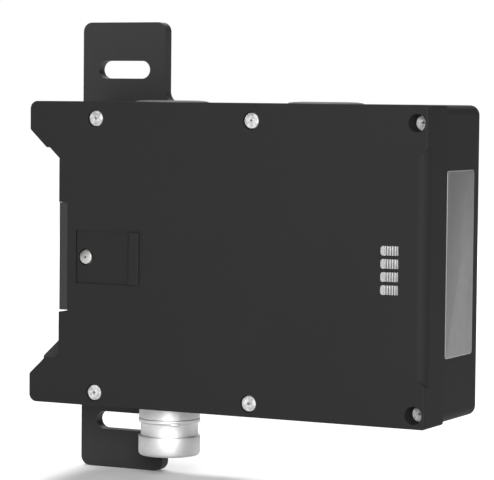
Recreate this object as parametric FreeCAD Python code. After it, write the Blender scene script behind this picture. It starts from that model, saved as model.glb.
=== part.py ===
import FreeCAD, Part
import math
import os

# Guard locking module for a sliding or hinged machine guard, in millimetres.
# Frame: +Z up, the front cover faces -Y, the bolt enters from -X.
# Origin: on the mounting plate's back face, in the plane of the mouth, midway between the slots.

V = FreeCAD.Vector

# Mounting plate
PLATE_THICKNESS = 5.0
TAB_WIDTH = 40.0
TAB_X = -1.0
PLATE_HEIGHT = 190.0
PLATE_CORNER_R = 4.0
CARRIER_INSET = 0.5
CARRIER_MARGIN = 14.0
NECK_FILLET_R = 5.0
SLOT_LENGTH = 25.0
SLOT_WIDTH = 7.5
SLOT_SPACING = 150.0
PLATE_SCREW_R = 2.5
PLATE_SCREW_HEAD_R = 4.8
PLATE_SCREW_HEAD_H = 2.6
PLATE_SCREW_L = 9.0
PLATE_SCREW_REACH = 8.0
PLATE_BOSS_R = 4.6
PLATE_SCREW_LEFT = 12.0
PLATE_SCREW_DROP = 14.5
PLATE_BOSS_GAP = 5.4

# Housing shells
HOUSING_LENGTH = 161.0
HOUSING_HEIGHT = 123.0
HOUSING_DEPTH = 54.0
COVER_DEPTH = 18.5
WALL = 3.0
CORNER_R = 4.0
COVER_CORNER_R = 1.2
COVER_OVERHANG = 0.6
EDGE_R = 0.9
SOFT_EDGE_R = 4.0
SOFT_EDGE_DROP = 17.5
EAR_REACH = 14.2
EAR_TIP_HEIGHT = 11.6
EAR_CORNER_R = 3.2
EAR_STEP_REACH = 6.5
EAR_STEP_DROP = 18.8

# Mouth frame with its two funnel wedges between the ears
FRAME_THICKNESS = 4.0
FUNNEL_DROP = 15.3
FUNNEL_RISE = 0.93
WEDGE_REACH = 18.5
FRAME_SCREW_DROP = 7.2
FRAME_SCREW_R = 1.9
FRAME_SCREW_L = 10.0

# Bolt mouth and lock line
LOCK_Z = -1.3
GUIDE_GAP = 0.15
NOSE_GAP = 0.7
GUIDE_WALL = 2.3
GUIDE_LENGTH = 50.0
GUIDE_FRONT_GAP = 9.5
TONGUE_SPACE = 22.0
GUIDE_TAB = 10.0
GUIDE_SCREW_L = 9.0

# Small clearances
FIT_GAP = 0.1
RUN_GAP = 0.05
FREE_GAP = 0.3

# Cover screws
SCREW_LEFT = 16.8
SCREW_RIGHT_INSET = 4.1
SCREW_DROP = 6.1
SCREW_MIDDLE = -0.7
SCREW_HEAD_R = 3.4
SCREW_HEAD_H = 2.0
SCREW_SHANK_R = 1.9
SCREW_SHANK_L = 22.0
SCREW_BOSS_R = 4.2
CORNER_BOSS_R = 4.9
SHALLOW_SEAT = 2.6
DEEP_SEAT = 8.7
HEAD_POCKET_R = 3.5

# Status windows
PIPE_COUNT = 4
PIPE_PITCH = 5.0
PIPE_LENGTH = 7.3
PIPE_HEIGHT = 3.9
PIPE_INSET = 18.4
PIPE_Z = -1.4
PIPE_PROUD = 0.15
PIPE_RIB = 0.7

# Auxiliary release
RELEASE_X = 12.3
FIELD_LEFT = 8.0
FIELD_RIGHT = 32.5
FIELD_HEIGHT = 21.5
FIELD_DEPTH = 0.8
RIDGE_WIDTH = 5.0
RIDGE_HEIGHT = 1.0
RELEASE_HEAD_R = 3.1
RELEASE_HEAD_H = 1.7
RELEASE_SHAFT_R = 2.3
RELEASE_SEAL = 0.8
RELEASE_BOSS_R = 5.5
RELEASE_BOSS_L = 5.1
FINGER_THICKNESS = 2.0
FINGER_HUB_R = 4.6
FINGER_RADIUS = 27.5
FINGER_WIDTH = 5.0
FINGER_REST_ANGLE = -56.0
PEG_R = 1.5
PEG_LENGTH = 4.4

# Locking lever
PIVOT_BEYOND_GUIDE = 6.0
PIVOT_OVER_GUIDE = 3.6
PIN_R = 2.5
LEVER_HUB_R = 6.5
LEVER_HUB_L = 9.0
LEVER_THICKNESS = 8.0
CLAW_LEFT = 12.0
CLAW_WIDTH = 8.0
CLAW_DROP = 6.0
ARM_UNDER = 1.0
ARM_OVER = 5.0
LINK_ARM = 13.0
LINK_THICKNESS = 4.0
LINK_PIN_R = 1.5
TOOTH_OFFSET = 15.7
TOOTH_WIDTH = 10.0

# Solenoid
YOKE_OFFSET = 18.0
YOKE_TOP_GAP = 8.4
YOKE_LENGTH = 38.0
YOKE_HEIGHT = 26.0
YOKE_DEPTH = 28.0
YOKE_PLATE = 2.5
YOKE_TAB = 8.0
PLUNGER_R = 6.0
PLUNGER_OVERHANG = 6.0
PLUNGER_LENGTH = 46.0
COIL_R = 12.0
COLLAR_R = 8.0
SPRING_WIRE_R = 0.45
PLUNGER_SPRING_R = 7.2
PLUNGER_SPRING_TURNS = 5
YOKE_SCREW_L = 8.0

# Bolt follower
FOLLOWER_X = 27.0
FOLLOWER_LENGTH = 7.0
FOLLOWER_DROP = 7.4
FOLLOWER_SPRING_R = 5.0
FOLLOWER_SPRING_TURNS = 7

# Read head
READ_HEAD_X = 8.0
READ_HEAD_LENGTH = 20.0
READ_HEAD_HEIGHT = 24.0

# Cable entries, plugs and connector
ENTRY_X = (32.0, 102.0)
ENTRY_R = 12.5
PLUG_HEAD_R = 15.1
PLUG_HEAD_H = 1.3
PLUG_SHANK_L = 8.0
PLUG_CHAMFER = 0.5
SEAL_THICKNESS = 1.0
RING_R = 12.8
NECK_R = 11.9
RING_CHAMFER = 0.8
UPPER_RING_H = 9.4
NECK_H = 5.3
LOWER_RING_H = 8.2
SOCKET_R = 10.4
INSERT_TOP = 2.0
SOCKET_DEPTH = 14.0
NUT_R = 14.0
NUT_H = 4.0
CONTACT_R = 0.5
CONTACT_REACH = 9.0
CONTACT_RING_R = (0.0, 4.0, 7.6)
CONTACT_COUNTS = (1, 6, 12)

# Boards and what they carry
BOARD_T = 1.6
BOARD_OFFSET = 6.0
BOARD_RIGHT_GAP = 6.0
BOARD_BOTTOM_GAP = 6.0
BOARD_HEIGHT = 66.5
BOARD_STANDOFF = 6.0
BOARD_SCREW_INSET = 4.0
BOARD_SCREW_RAISE = 3.0
BOARD_SCREW_L = 6.0
SMALL_SCREW_R = 1.5
SMALL_HEAD_R = 2.8
SMALL_HEAD_H = 1.8
POST_R = 3.6
DISPLAY_RIGHT_GAP = 2.0
DISPLAY_WIDTH = 23.0
DISPLAY_HALF = 17.0
DISPLAY_POST_L = 6.0
DISPLAY_POST_INSET = 3.0
DISPLAY_SCREW_L = 5.0
LED_HEIGHT = 1.9
LED_WIDTH = 3.0
LED_HALF = 1.4
TERMINAL_PITCH = 5.0
TERMINAL_INSET = 11.0
TERMINAL_RAISE = 4.0
TERMINAL_WIDTH = 13.0
TERMINAL_HEIGHT = 12.0
TERMINAL_GAP = 7.0
RELAY_COUNT = 2
RELAY_PITCH = 16.0
RELAY_WIDTH = 13.0
RELAY_LENGTH = 29.0
RELAY_HEIGHT = 16.0
RELAY_RAISE = 6.0
RELAY_INSET = 37.0
CAN_COUNT = 2
CAN_R = 5.0
CAN_LENGTH = 14.0
CAN_PITCH = 13.0
CAN_RAISE = 32.0
CAN_INSET = 17.0
CHIP_SIZE = 12.0
CHIP_T = 1.6
CHIP_PITCH = 20.0
CHIP_RAISE = 44.0
CHIP_INSET = 32.0
CHIP_MARGIN = 6.0

# Type label, bare
LABEL_DEPTH_FROM_BACK = 5.8
LABEL_WIDTH = 27.4
LABEL_HEIGHT = 72.6
LABEL_T = 0.5
LABEL_RECESS = 0.3

# Derived places
BACK = -PLATE_THICKNESS
FRONT = BACK - HOUSING_DEPTH
PARTING = FRONT + COVER_DEPTH
TOP = HOUSING_HEIGHT / 2
RIGHT = HOUSING_LENGTH
COVER_RIGHT = RIGHT + COVER_OVERHANG
INNER_FRONT = FRONT + WALL
INNER_BACK = BACK - WALL
INNER_LEFT = FRAME_THICKNESS + WALL
INNER_RIGHT = RIGHT - WALL
INNER_TOP = TOP - WALL
EAR_TIP_Z = TOP - EAR_TIP_HEIGHT
EAR_STEP_Z = TOP - EAR_STEP_DROP
FUNNEL_HALF = EAR_STEP_Z - FUNNEL_DROP
FRAME_SCREW_Z = EAR_STEP_Z - FRAME_SCREW_DROP
SOFT_EDGE_HALF = TOP - SOFT_EDGE_DROP
SCREW_RIGHT = RIGHT - SCREW_RIGHT_INSET
SCREW_X = (SCREW_LEFT, (SCREW_LEFT + SCREW_RIGHT) / 2, SCREW_RIGHT)
SCREW_Z = TOP - SCREW_DROP
PLATE_SCREW_Z = TOP - PLATE_SCREW_DROP
PIPE_X = RIGHT - PIPE_INSET
LINK_Z = INNER_TOP - YOKE_TOP_GAP - YOKE_HEIGHT / 2
PIVOT_Z = LINK_Z - LINK_ARM
PIVOT_X = GUIDE_LENGTH + PIVOT_BEYOND_GUIDE
GUIDE_HALF = PIVOT_Z - PIVOT_OVER_GUIDE - LOCK_Z
TOOTH_LEFT = RELEASE_X + TOOTH_OFFSET
ENTRY_Y = (PARTING + BACK) / 2
FRAME_BACK = INNER_BACK - 1.0
GUIDE_FRONT = INNER_FRONT + GUIDE_FRONT_GAP
GUIDE_BACK = GUIDE_FRONT + TONGUE_SPACE + 2 * GUIDE_WALL
MOUTH_HALF = GUIDE_HALF + GUIDE_GAP
LEVER_Y = (GUIDE_FRONT + GUIDE_BACK) / 2
PLUNGER_LEFT = PIVOT_X - PLUNGER_OVERHANG
YOKE_LEFT = PIVOT_X + YOKE_OFFSET
YOKE_RIGHT = YOKE_LEFT + YOKE_LENGTH
YOKE_BACK = LEVER_Y + YOKE_DEPTH / 2
FINGER_FRONT = FRONT + RELEASE_BOSS_L + FREE_GAP
FINGER_BACK = FINGER_FRONT + FINGER_THICKNESS
BOARD_BACK = INNER_BACK - BOARD_STANDOFF
BOARD_FRONT = BOARD_BACK - BOARD_T
BOARD_LEFT = PIVOT_X + BOARD_OFFSET
BOARD_RIGHT = INNER_RIGHT - BOARD_RIGHT_GAP
BOARD_BOTTOM = BOARD_BOTTOM_GAP - INNER_TOP
BOARD_TOP = BOARD_BOTTOM + BOARD_HEIGHT
RELAY_LEFT = BOARD_RIGHT - RELAY_INSET
PLATE_SCREW_X = (PLATE_SCREW_LEFT, BOARD_LEFT - PLATE_BOSS_R - PLATE_BOSS_GAP)
CARRIER_RIGHT = PLATE_SCREW_X[-1] + CARRIER_MARGIN
DISPLAY_FRONT = INNER_FRONT + DISPLAY_POST_L
DISPLAY_RIGHT = INNER_RIGHT - DISPLAY_RIGHT_GAP
DISPLAY_LEFT = DISPLAY_RIGHT - DISPLAY_WIDTH
DISPLAY_BACK = DISPLAY_FRONT + BOARD_T
CONNECTOR_BOTTOM = -TOP - UPPER_RING_H - NECK_H - LOWER_RING_H


# Shape helpers

def box(x0, x1, y0, y1, z0, z1):
    """Block between two corners."""
    return Part.makeBox(x1 - x0, y1 - y0, z1 - z0, V(x0, y0, z0))


def rod_x(x0, x1, y, z, r):
    """Round bar along X."""
    return Part.makeCylinder(r, x1 - x0, V(x0, y, z), V(1, 0, 0))


def rod_y(x, y0, y1, z, r):
    """Round bar along Y."""
    return Part.makeCylinder(r, y1 - y0, V(x, y0, z), V(0, 1, 0))


def rod_z(x, y, z0, z1, r):
    """Round bar along Z."""
    return Part.makeCylinder(r, z1 - z0, V(x, y, z0), V(0, 0, 1))


def join(first, *others):
    """One solid from several that touch or overlap."""
    shape = first
    for other in others:
        shape = shape.fuse(other)
    return shape.removeSplitter()


def outline(corners):
    """Closed wire in the XZ plane from (x, z, radius) corners."""
    count = len(corners)
    points = [V(x, 0, z) for x, z, _ in corners]
    edges = []
    start = None
    last = None
    for i in range(count):
        here = points[i]
        before = (points[i - 1] - here).normalize()
        after = (points[(i + 1) % count] - here).normalize()
        radius = corners[i][2]
        if radius > 0:
            half = before.getAngle(after) / 2
            reach = radius / math.tan(half)
            enter = here + before * reach
            leave = here + after * reach
            inward = (before + after).normalize()
            middle = here + inward * (radius / math.sin(half) - radius)
        else:
            enter = here
            leave = here
        if last is None:
            start = enter
        elif last.distanceToPoint(enter) > 1e-6:
            edges.append(Part.LineSegment(last, enter).toShape())
        if radius > 0:
            edges.append(Part.Arc(enter, middle, leave).toShape())
        last = leave
    edges.append(Part.LineSegment(last, start).toShape())
    return Part.Wire(edges)


def prism(corners, y0, y1):
    """Outline in the XZ plane pushed from y0 to y1."""
    face = Part.Face(outline(corners))
    face.translate(V(0, y0, 0))
    return face.extrude(V(0, y1 - y0, 0))


def edges_at_y(shape, y):
    """Edges that lie wholly in the plane at y."""
    return [e for e in shape.Edges if abs(e.BoundBox.YMin - y) < 1e-4 and abs(e.BoundBox.YMax - y) < 1e-4]


def rim_edges(shape, y):
    """Edges at y around a shell's outside, without those beside the mouth frame."""
    found = []
    for edge in edges_at_y(shape, y):
        b = edge.BoundBox
        if b.XMax > 0.5 or abs(b.ZMin + b.ZMax) > 2 * EAR_STEP_Z + 1:
            found.append(edge)
    return found


def spring_x(x0, x1, y, z, mean_r, turns):
    """Compression spring along X with plain round ends."""
    span = x1 - x0 - 2 * SPRING_WIRE_R
    pitch = span / turns
    helix = Part.makeHelix(pitch, span, mean_r)
    along = V(0, 2 * math.pi * mean_r, pitch)
    section = Part.Wire([Part.makeCircle(SPRING_WIRE_R, V(mean_r, 0, 0), along)])
    coil = Part.Wire(helix.Edges).makePipeShell([section], True, True)
    coil.rotate(V(0, 0, 0), V(0, 1, 0), 90)
    coil.translate(V(x0 + SPRING_WIRE_R, y, z))
    return coil


def cross_recess(x, y, z, reach, width, depth):
    """Cross-shaped driver recess that opens towards -Y."""
    flat = box(x - reach, x + reach, y, y + depth, z - width / 2, z + width / 2)
    tall = box(x - width / 2, x + width / 2, y, y + depth, z - reach, z + reach)
    return flat.fuse(tall)


def pan_screw(x, y_head, z, head_r, head_h, shank_r, shank_l):
    """Pan head screw along Y with its head towards the front."""
    head = rod_y(x, y_head, y_head + head_h, z, head_r)
    rim = edges_at_y(head, y_head)
    head = head.makeFillet(head_h * 0.45, rim)
    shank = rod_y(x, y_head + head_h, y_head + head_h + shank_l, z, shank_r)
    screw = join(head, shank)
    return screw.cut(cross_recess(x, y_head - 1, z, head_r * 0.55, head_r * 0.24, 1 + head_h * 0.45))


def seat_depth(x):
    """How far a cover screw's seat lies behind the front face."""
    return DEEP_SEAT if x == SCREW_X[-1] else SHALLOW_SEAT


def screw_places():
    """Places of the six cover screws."""
    return [(x, SCREW_MIDDLE + side * SCREW_Z) for x in SCREW_X for side in (1, -1)]


def boss_radius(x):
    """Bosses at the right-hand corners are wider."""
    return CORNER_BOSS_R if x == SCREW_X[-1] else SCREW_BOSS_R


# Housing

def housing_corners(right, corner_r):
    """Outer outline of a shell, with the funnel ears on the left."""
    return [
        (-EAR_REACH, TOP, EAR_CORNER_R),
        (right, TOP, corner_r),
        (right, -TOP, corner_r),
        (-EAR_REACH, -TOP, EAR_CORNER_R),
        (-EAR_REACH, -EAR_TIP_Z, 0.8),
        (-EAR_STEP_REACH, -EAR_STEP_Z, 0),
        (0, -EAR_STEP_Z, 0),
        (0, EAR_STEP_Z, 0),
        (-EAR_STEP_REACH, EAR_STEP_Z, 0),
        (-EAR_REACH, EAR_TIP_Z, 0.8),
    ]


def cavity_corners():
    """Inner outline of both shells."""
    inner_r = CORNER_R - WALL
    return [
        (INNER_LEFT, INNER_TOP, inner_r),
        (INNER_RIGHT, INNER_TOP, inner_r),
        (INNER_RIGHT, -INNER_TOP, inner_r),
        (INNER_LEFT, -INNER_TOP, inner_r),
    ]


def ear_core(y0, y1, side):
    """Cored-out space inside one ear."""
    slope_rise = WALL * 1.4
    low = EAR_TIP_Z + slope_rise - WALL / 2
    z0, z1 = sorted((side * low, side * INNER_TOP))
    return box(WALL - EAR_REACH, FRAME_THICKNESS - WALL, y0, y1, z0, z1)


def frame_pocket(y0, y1):
    """Space for the mouth frame on the left face."""
    return box(-EAR_REACH, FRAME_THICKNESS, y0, y1, -EAR_STEP_Z, EAR_STEP_Z)


def mouth_window(x0, x1, y0, y1):
    """Opening for the bolt guide."""
    return box(x0, x1, y0, y1, LOCK_Z - MOUTH_HALF, LOCK_Z + MOUTH_HALF)


def nose_slot():
    """Slot in the cover's left edge for the nose of the bolt guide, with a drain gap below."""
    low = LOCK_Z - MOUTH_HALF - NOSE_GAP
    return box(-1, FRAME_THICKNESS + FIT_GAP, FRONT - 1, PARTING, low, LOCK_Z + MOUTH_HALF)


def soft_edge_cutter():
    """Takes the square front right edge down to a large radius between the corners."""
    r = SOFT_EDGE_R
    block = box(COVER_RIGHT - r, COVER_RIGHT + 2, FRONT - 2, FRONT + r, -TOP, TOP)
    round_part = rod_z(COVER_RIGHT - r, FRONT + r, -TOP, TOP, r)
    half = SOFT_EDGE_HALF
    span = prism([
        (COVER_RIGHT - r, -half + r / 2, 0),
        (COVER_RIGHT + 2, -half - r / 2 - 1, 0),
        (COVER_RIGHT + 2, half + r / 2 + 1, 0),
        (COVER_RIGHT - r, half - r / 2, 0),
    ], FRONT - 2, FRONT + r)
    return block.cut(round_part).common(span)


def make_housing_cover():
    body = prism(housing_corners(COVER_RIGHT, COVER_CORNER_R), FRONT, PARTING)
    body = body.makeFillet(EDGE_R, rim_edges(body, FRONT))
    body = body.cut(soft_edge_cutter())
    cavity = prism(cavity_corners(), INNER_FRONT, PARTING)
    for x, z in screw_places():
        cavity = cavity.cut(rod_y(x, INNER_FRONT, PARTING, z, boss_radius(x)))
    cavity = cavity.cut(rod_y(RELEASE_X, INNER_FRONT, FRONT + RELEASE_BOSS_L, LOCK_Z, RELEASE_BOSS_R))
    for x, z in display_posts():
        cavity = cavity.cut(rod_y(x, INNER_FRONT, DISPLAY_FRONT, z, POST_R - 1))
    body = body.cut(cavity)
    for side in (1, -1):
        body = body.cut(ear_core(INNER_FRONT, PARTING, side))
    body = body.cut(nose_slot())
    body = body.cut(mouth_window(-1, INNER_LEFT + 1, GUIDE_FRONT - GUIDE_GAP, PARTING))
    for x, z in screw_places():
        seat = FRONT + seat_depth(x)
        body = body.cut(rod_y(x, FRONT - 1, seat, z, HEAD_POCKET_R))
        body = body.cut(rod_y(x, seat, PARTING, z, SCREW_SHANK_R + FREE_GAP))
    body = add_release_field(body)
    for z in pipe_heights():
        body = body.cut(pipe_section(z, FRONT - 1, INNER_FRONT, FIT_GAP))
    for x, z in display_posts():
        body = body.cut(rod_y(x, INNER_FRONT, DISPLAY_FRONT, z, SMALL_SCREW_R + RUN_GAP))
    return body.removeSplitter()


def add_release_field(body):
    """Shallow field around the auxiliary release, with a raised ridge on its right."""
    z0 = LOCK_Z - FIELD_HEIGHT / 2
    z1 = LOCK_Z + FIELD_HEIGHT / 2
    body = body.cut(box(FIELD_LEFT, FIELD_RIGHT, FRONT - 1, FRONT + FIELD_DEPTH, z0, z1))
    ridge = box(FIELD_RIGHT, FIELD_RIGHT + RIDGE_WIDTH, FRONT - RIDGE_HEIGHT, FRONT + EDGE_R, z0, z1)
    crest = edges_at_y(ridge, FRONT - RIDGE_HEIGHT)
    ridge = ridge.makeFillet(RIDGE_HEIGHT * 0.8, crest)
    body = body.fuse(ridge)
    floor = release_seal_front() + RELEASE_SEAL
    body = body.cut(rod_y(RELEASE_X, FRONT - 1, floor, LOCK_Z, RELEASE_HEAD_R + FREE_GAP))
    return body.cut(rod_y(RELEASE_X, FRONT, FINGER_FRONT, LOCK_Z, RELEASE_SHAFT_R + RUN_GAP))


def label_place(gap):
    """Low and high Y and Z of the type label, or of its recess with a gap round it."""
    y1 = BACK - LABEL_DEPTH_FROM_BACK
    half = LABEL_HEIGHT / 2 + gap
    return y1 - LABEL_WIDTH - gap, y1 + gap, -half, half


def base_posts():
    """Posts that stand on the rear wall: x, z, radius, front end, bore radius."""
    posts = [
        (PIVOT_X, PIVOT_Z, PIN_R + 2.5, LEVER_Y + LEVER_HUB_L / 2 + FREE_GAP, PIN_R),
    ]
    for x, z in guide_tab_places():
        posts.append((x, z, POST_R, GUIDE_BACK, SMALL_SCREW_R + RUN_GAP))
    for x, z in yoke_screw_places():
        posts.append((x, z, POST_R, YOKE_BACK, SMALL_SCREW_R + RUN_GAP))
    for x, z in board_screw_places():
        posts.append((x, z, POST_R, BOARD_BACK, SMALL_SCREW_R + RUN_GAP))
    return posts


def make_housing_base():
    body = prism(housing_corners(RIGHT, CORNER_R), PARTING, BACK)
    body = body.makeFillet(EDGE_R, rim_edges(body, BACK))
    cavity = prism(cavity_corners(), PARTING, INNER_BACK)
    short_boss = ENTRY_Y - NUT_R + 5.0
    for x, z in screw_places():
        end = INNER_BACK if x == SCREW_X[-1] else short_boss
        cavity = cavity.cut(rod_y(x, PARTING, end, z, SCREW_BOSS_R))
    for x, z, r, front, _ in base_posts():
        cavity = cavity.cut(rod_y(x, front, INNER_BACK, z, r))
    for x, z in plate_screw_places():
        cavity = cavity.cut(rod_y(x, INNER_BACK - PLATE_SCREW_REACH, INNER_BACK, z, PLATE_BOSS_R))
    body = body.cut(cavity)
    for side in (1, -1):
        body = body.cut(ear_core(PARTING, INNER_BACK, side))
    body = body.cut(frame_pocket(PARTING, FRAME_BACK))
    body = body.cut(mouth_window(-1, INNER_LEFT + 1, PARTING, GUIDE_BACK + GUIDE_GAP))
    for x, z in screw_places():
        tip = FRONT + seat_depth(x) + SCREW_SHANK_L + 1
        body = body.cut(rod_y(x, PARTING, tip, z, SCREW_SHANK_R + RUN_GAP))
    for x, z, _, front, bore in base_posts():
        body = body.cut(rod_y(x, front, INNER_BACK - 1, z, bore))
    for x, z in plate_screw_places():
        body = body.cut(rod_y(x, BACK - PLATE_SCREW_L, BACK, z, PLATE_SCREW_R + RUN_GAP))
    for y, z in frame_screw_places():
        body = body.cut(rod_x(0, INNER_LEFT + 1, y, z, FRAME_SCREW_R + FREE_GAP))
    for x in ENTRY_X:
        body = body.cut(rod_z(x, ENTRY_Y, -TOP - 1, TOP + 1, ENTRY_R).cut(cavity_core()))
    body = body.cut(gasket_ring(FIT_GAP))
    y0, y1, z0, z1 = label_place(FIT_GAP)
    body = body.cut(box(RIGHT - LABEL_RECESS, RIGHT + 1, y0, y1, z0, z1))
    return body.removeSplitter()


def cavity_core():
    """Inside of the housing, so that an entry bore only passes the walls."""
    return box(INNER_LEFT, INNER_RIGHT, PARTING, INNER_BACK, -INNER_TOP, INNER_TOP)


def gasket_ring(gap):
    """Ring in the middle of the wall at the parting plane, open at the mouth."""
    inset = WALL * 0.3
    width = WALL * 0.4
    depth = 1.2
    outer = [
        (FRAME_THICKNESS + inset, TOP - inset, 2.0),
        (RIGHT - inset, TOP - inset, 2.0),
        (RIGHT - inset, -TOP + inset, 2.0),
        (FRAME_THICKNESS + inset, -TOP + inset, 2.0),
    ]
    step = width + gap
    inner = [
        (FRAME_THICKNESS + inset + step, TOP - inset - step, 1.0),
        (RIGHT - inset - step, TOP - inset - step, 1.0),
        (RIGHT - inset - step, -TOP + inset + step, 1.0),
        (FRAME_THICKNESS + inset + step, -TOP + inset + step, 1.0),
    ]
    ring = prism(outer, PARTING, PARTING + depth).cut(prism(inner, PARTING - 1, PARTING + depth + 1))
    return ring.cut(mouth_window(0, INNER_LEFT + 1, PARTING - 1, PARTING + depth + 1))


def make_cover_gasket():
    return gasket_ring(0)


def make_cover_screws():
    screws = []
    for x, z in screw_places():
        head = FRONT + seat_depth(x) - SCREW_HEAD_H
        screws.append(pan_screw(x, head, z, SCREW_HEAD_R, SCREW_HEAD_H, SCREW_SHANK_R, SCREW_SHANK_L))
    return Part.makeCompound(screws)


def make_type_label():
    y0, y1, z0, z1 = label_place(0)
    x0 = RIGHT - LABEL_RECESS
    plate = box(x0, x0 + LABEL_T, y0, y1, z0, z1)
    upright = [e for e in plate.Edges if e.BoundBox.XLength > LABEL_T / 2]
    return plate.makeFillet(1.5, upright)


# Mounting plate and its screws

def plate_screw_places():
    return [(x, side * PLATE_SCREW_Z) for x in PLATE_SCREW_X for side in (1, -1)]


def plate_corners():
    """Plate outline: two tabs above and below a wider carrier behind the housing."""
    half = TAB_WIDTH / 2
    tall = PLATE_HEIGHT / 2
    wide = TOP - CARRIER_INSET
    r = PLATE_CORNER_R
    neck = NECK_FILLET_R
    return [
        (TAB_X - half, tall, r),
        (TAB_X + half, tall, r),
        (TAB_X + half, wide, neck),
        (CARRIER_RIGHT, wide, r),
        (CARRIER_RIGHT, -wide, r),
        (TAB_X + half, -wide, neck),
        (TAB_X + half, -tall, r),
        (TAB_X - half, -tall, r),
    ]


def fixing_slot(z):
    """One fixing slot, across the tab."""
    r = SLOT_WIDTH / 2
    left = TAB_X - SLOT_LENGTH / 2 + r
    right = TAB_X + SLOT_LENGTH / 2 - r
    body = box(left, right, BACK - 1, 1, z - r, z + r)
    for x in (left, right):
        body = body.fuse(rod_y(x, BACK - 1, 1, z, r))
    return body


def countersunk_y(x, z, gap):
    """Countersunk screw along -Y with its head flush in the plate's back face."""
    head = Part.makeCone(PLATE_SCREW_R + gap, PLATE_SCREW_HEAD_R + gap, PLATE_SCREW_HEAD_H,
                         V(x, -PLATE_SCREW_HEAD_H, z), V(0, 1, 0))
    shank = rod_y(x, BACK - PLATE_SCREW_L + 0.5, -PLATE_SCREW_HEAD_H, z, PLATE_SCREW_R + gap)
    return head, shank


def make_mounting_plate():
    plate = prism(plate_corners(), BACK, 0)
    for side in (1, -1):
        plate = plate.cut(fixing_slot(side * SLOT_SPACING / 2))
    for x, z in plate_screw_places():
        head, shank = countersunk_y(x, z, RUN_GAP)
        plate = plate.cut(head).cut(shank)
    return plate


def make_plate_screws():
    screws = []
    for x, z in plate_screw_places():
        head, shank = countersunk_y(x, z, 0)
        screw = join(head, shank)
        flat = box(x - 2.6, x + 2.6, -1.2, 1, z - 0.5, z + 0.5)
        tall = box(x - 0.5, x + 0.5, -1.2, 1, z - 2.6, z + 2.6)
        screws.append(screw.cut(flat).cut(tall))
    return Part.makeCompound(screws)


# Mouth frame, its screws and the bolt guide

def frame_screw_places():
    """Y and Z of the four screws that hold the mouth frame from inside."""
    return [(y, side * FRAME_SCREW_Z) for y in (PARTING + 6.5, FRAME_BACK - 6.0) for side in (1, -1)]


def wedge_corners(side):
    """Upper or lower funnel wedge, along the slope of its ear."""
    tip = FUNNEL_HALF + WEDGE_REACH * FUNNEL_RISE
    gap = FIT_GAP
    corners = [
        (0.5, FUNNEL_HALF - 0.5 * FUNNEL_RISE, 0),
        (-WEDGE_REACH, tip, 2.0),
        (-WEDGE_REACH, EAR_TIP_Z - 0.2, 1.5),
        (-EAR_REACH, EAR_TIP_Z - gap, 0),
        (-EAR_STEP_REACH - gap, EAR_STEP_Z - gap, 0),
        (0.5, EAR_STEP_Z - gap, 0),
    ]
    return [(x, side * z, r) for x, z, r in corners]


def make_mouth_frame():
    y0 = PARTING + FIT_GAP
    tall = EAR_STEP_Z - FIT_GAP
    plate = box(0, FRAME_THICKNESS, y0, FRAME_BACK, -tall, tall)
    for side in (1, -1):
        plate = plate.fuse(prism(wedge_corners(side), y0, FRAME_BACK))
    plate = plate.removeSplitter()
    plate = plate.cut(mouth_window(-1, FRAME_THICKNESS + 1, FRONT, GUIDE_BACK + GUIDE_GAP))
    tip = INNER_LEFT - FRAME_SCREW_L - 1
    for y, z in frame_screw_places():
        plate = plate.cut(rod_x(tip, FRAME_THICKNESS + 1, y, z, FRAME_SCREW_R + RUN_GAP))
    return plate


def make_frame_screws():
    screws = []
    for y, z in frame_screw_places():
        screw = pan_screw(0, 0, 0, SCREW_HEAD_R, SCREW_HEAD_H, FRAME_SCREW_R, FRAME_SCREW_L)
        screw.rotate(V(0, 0, 0), V(0, 0, 1), 90)
        screw.translate(V(INNER_LEFT + SCREW_HEAD_H, y, z))
        screws.append(screw)
    return Part.makeCompound(screws)


def guide_tab_places():
    """X and Z of the two screws that hold the bolt guide."""
    x = GUIDE_LENGTH - 8.0
    rise = GUIDE_HALF + GUIDE_TAB / 2
    return [(x, LOCK_Z + rise), (x, LOCK_Z - rise)]


def make_bolt_guide():
    z0 = LOCK_Z - GUIDE_HALF
    z1 = LOCK_Z + GUIDE_HALF
    left = FREE_GAP
    shell = box(left, GUIDE_LENGTH, GUIDE_FRONT, GUIDE_BACK, z0, z1)
    nose = box(left, FRAME_THICKNESS, FRONT, GUIDE_FRONT + 1, z0, z1)
    shell = join(shell, nose)
    for x, z in guide_tab_places():
        side = 1 if z > LOCK_Z else -1
        low, high = sorted((LOCK_Z + side * (GUIDE_HALF - 1), LOCK_Z + side * (GUIDE_HALF + GUIDE_TAB)))
        shell = shell.fuse(box(x - 4.5, x + 4.5, GUIDE_BACK - GUIDE_WALL, GUIDE_BACK, low, high))
    inner_z = GUIDE_HALF - GUIDE_WALL
    pocket = box(-1, GUIDE_LENGTH - GUIDE_WALL, GUIDE_FRONT + GUIDE_WALL, GUIDE_BACK - GUIDE_WALL,
                 LOCK_Z - inner_z, LOCK_Z + inner_z)
    shell = shell.cut(pocket)
    lever_half = LEVER_THICKNESS / 2 + 0.8
    shell = shell.cut(box(CLAW_LEFT - 2, GUIDE_LENGTH + 1, LEVER_Y - lever_half, LEVER_Y + lever_half,
                          LOCK_Z + inner_z - 1, z1 + 1))
    for x, z in guide_tab_places():
        shell = shell.cut(rod_y(x, GUIDE_BACK - GUIDE_WALL - 1, GUIDE_BACK + 1, z, SMALL_SCREW_R + FREE_GAP))
    return shell.removeSplitter()


def make_guide_screws():
    screws = []
    for x, z in guide_tab_places():
        head = GUIDE_BACK - GUIDE_WALL - SMALL_HEAD_H
        screws.append(pan_screw(x, head, z, SMALL_HEAD_R, SMALL_HEAD_H, SMALL_SCREW_R, GUIDE_SCREW_L))
    return Part.makeCompound(screws)


# Bolt follower, its spring and the read head

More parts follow.
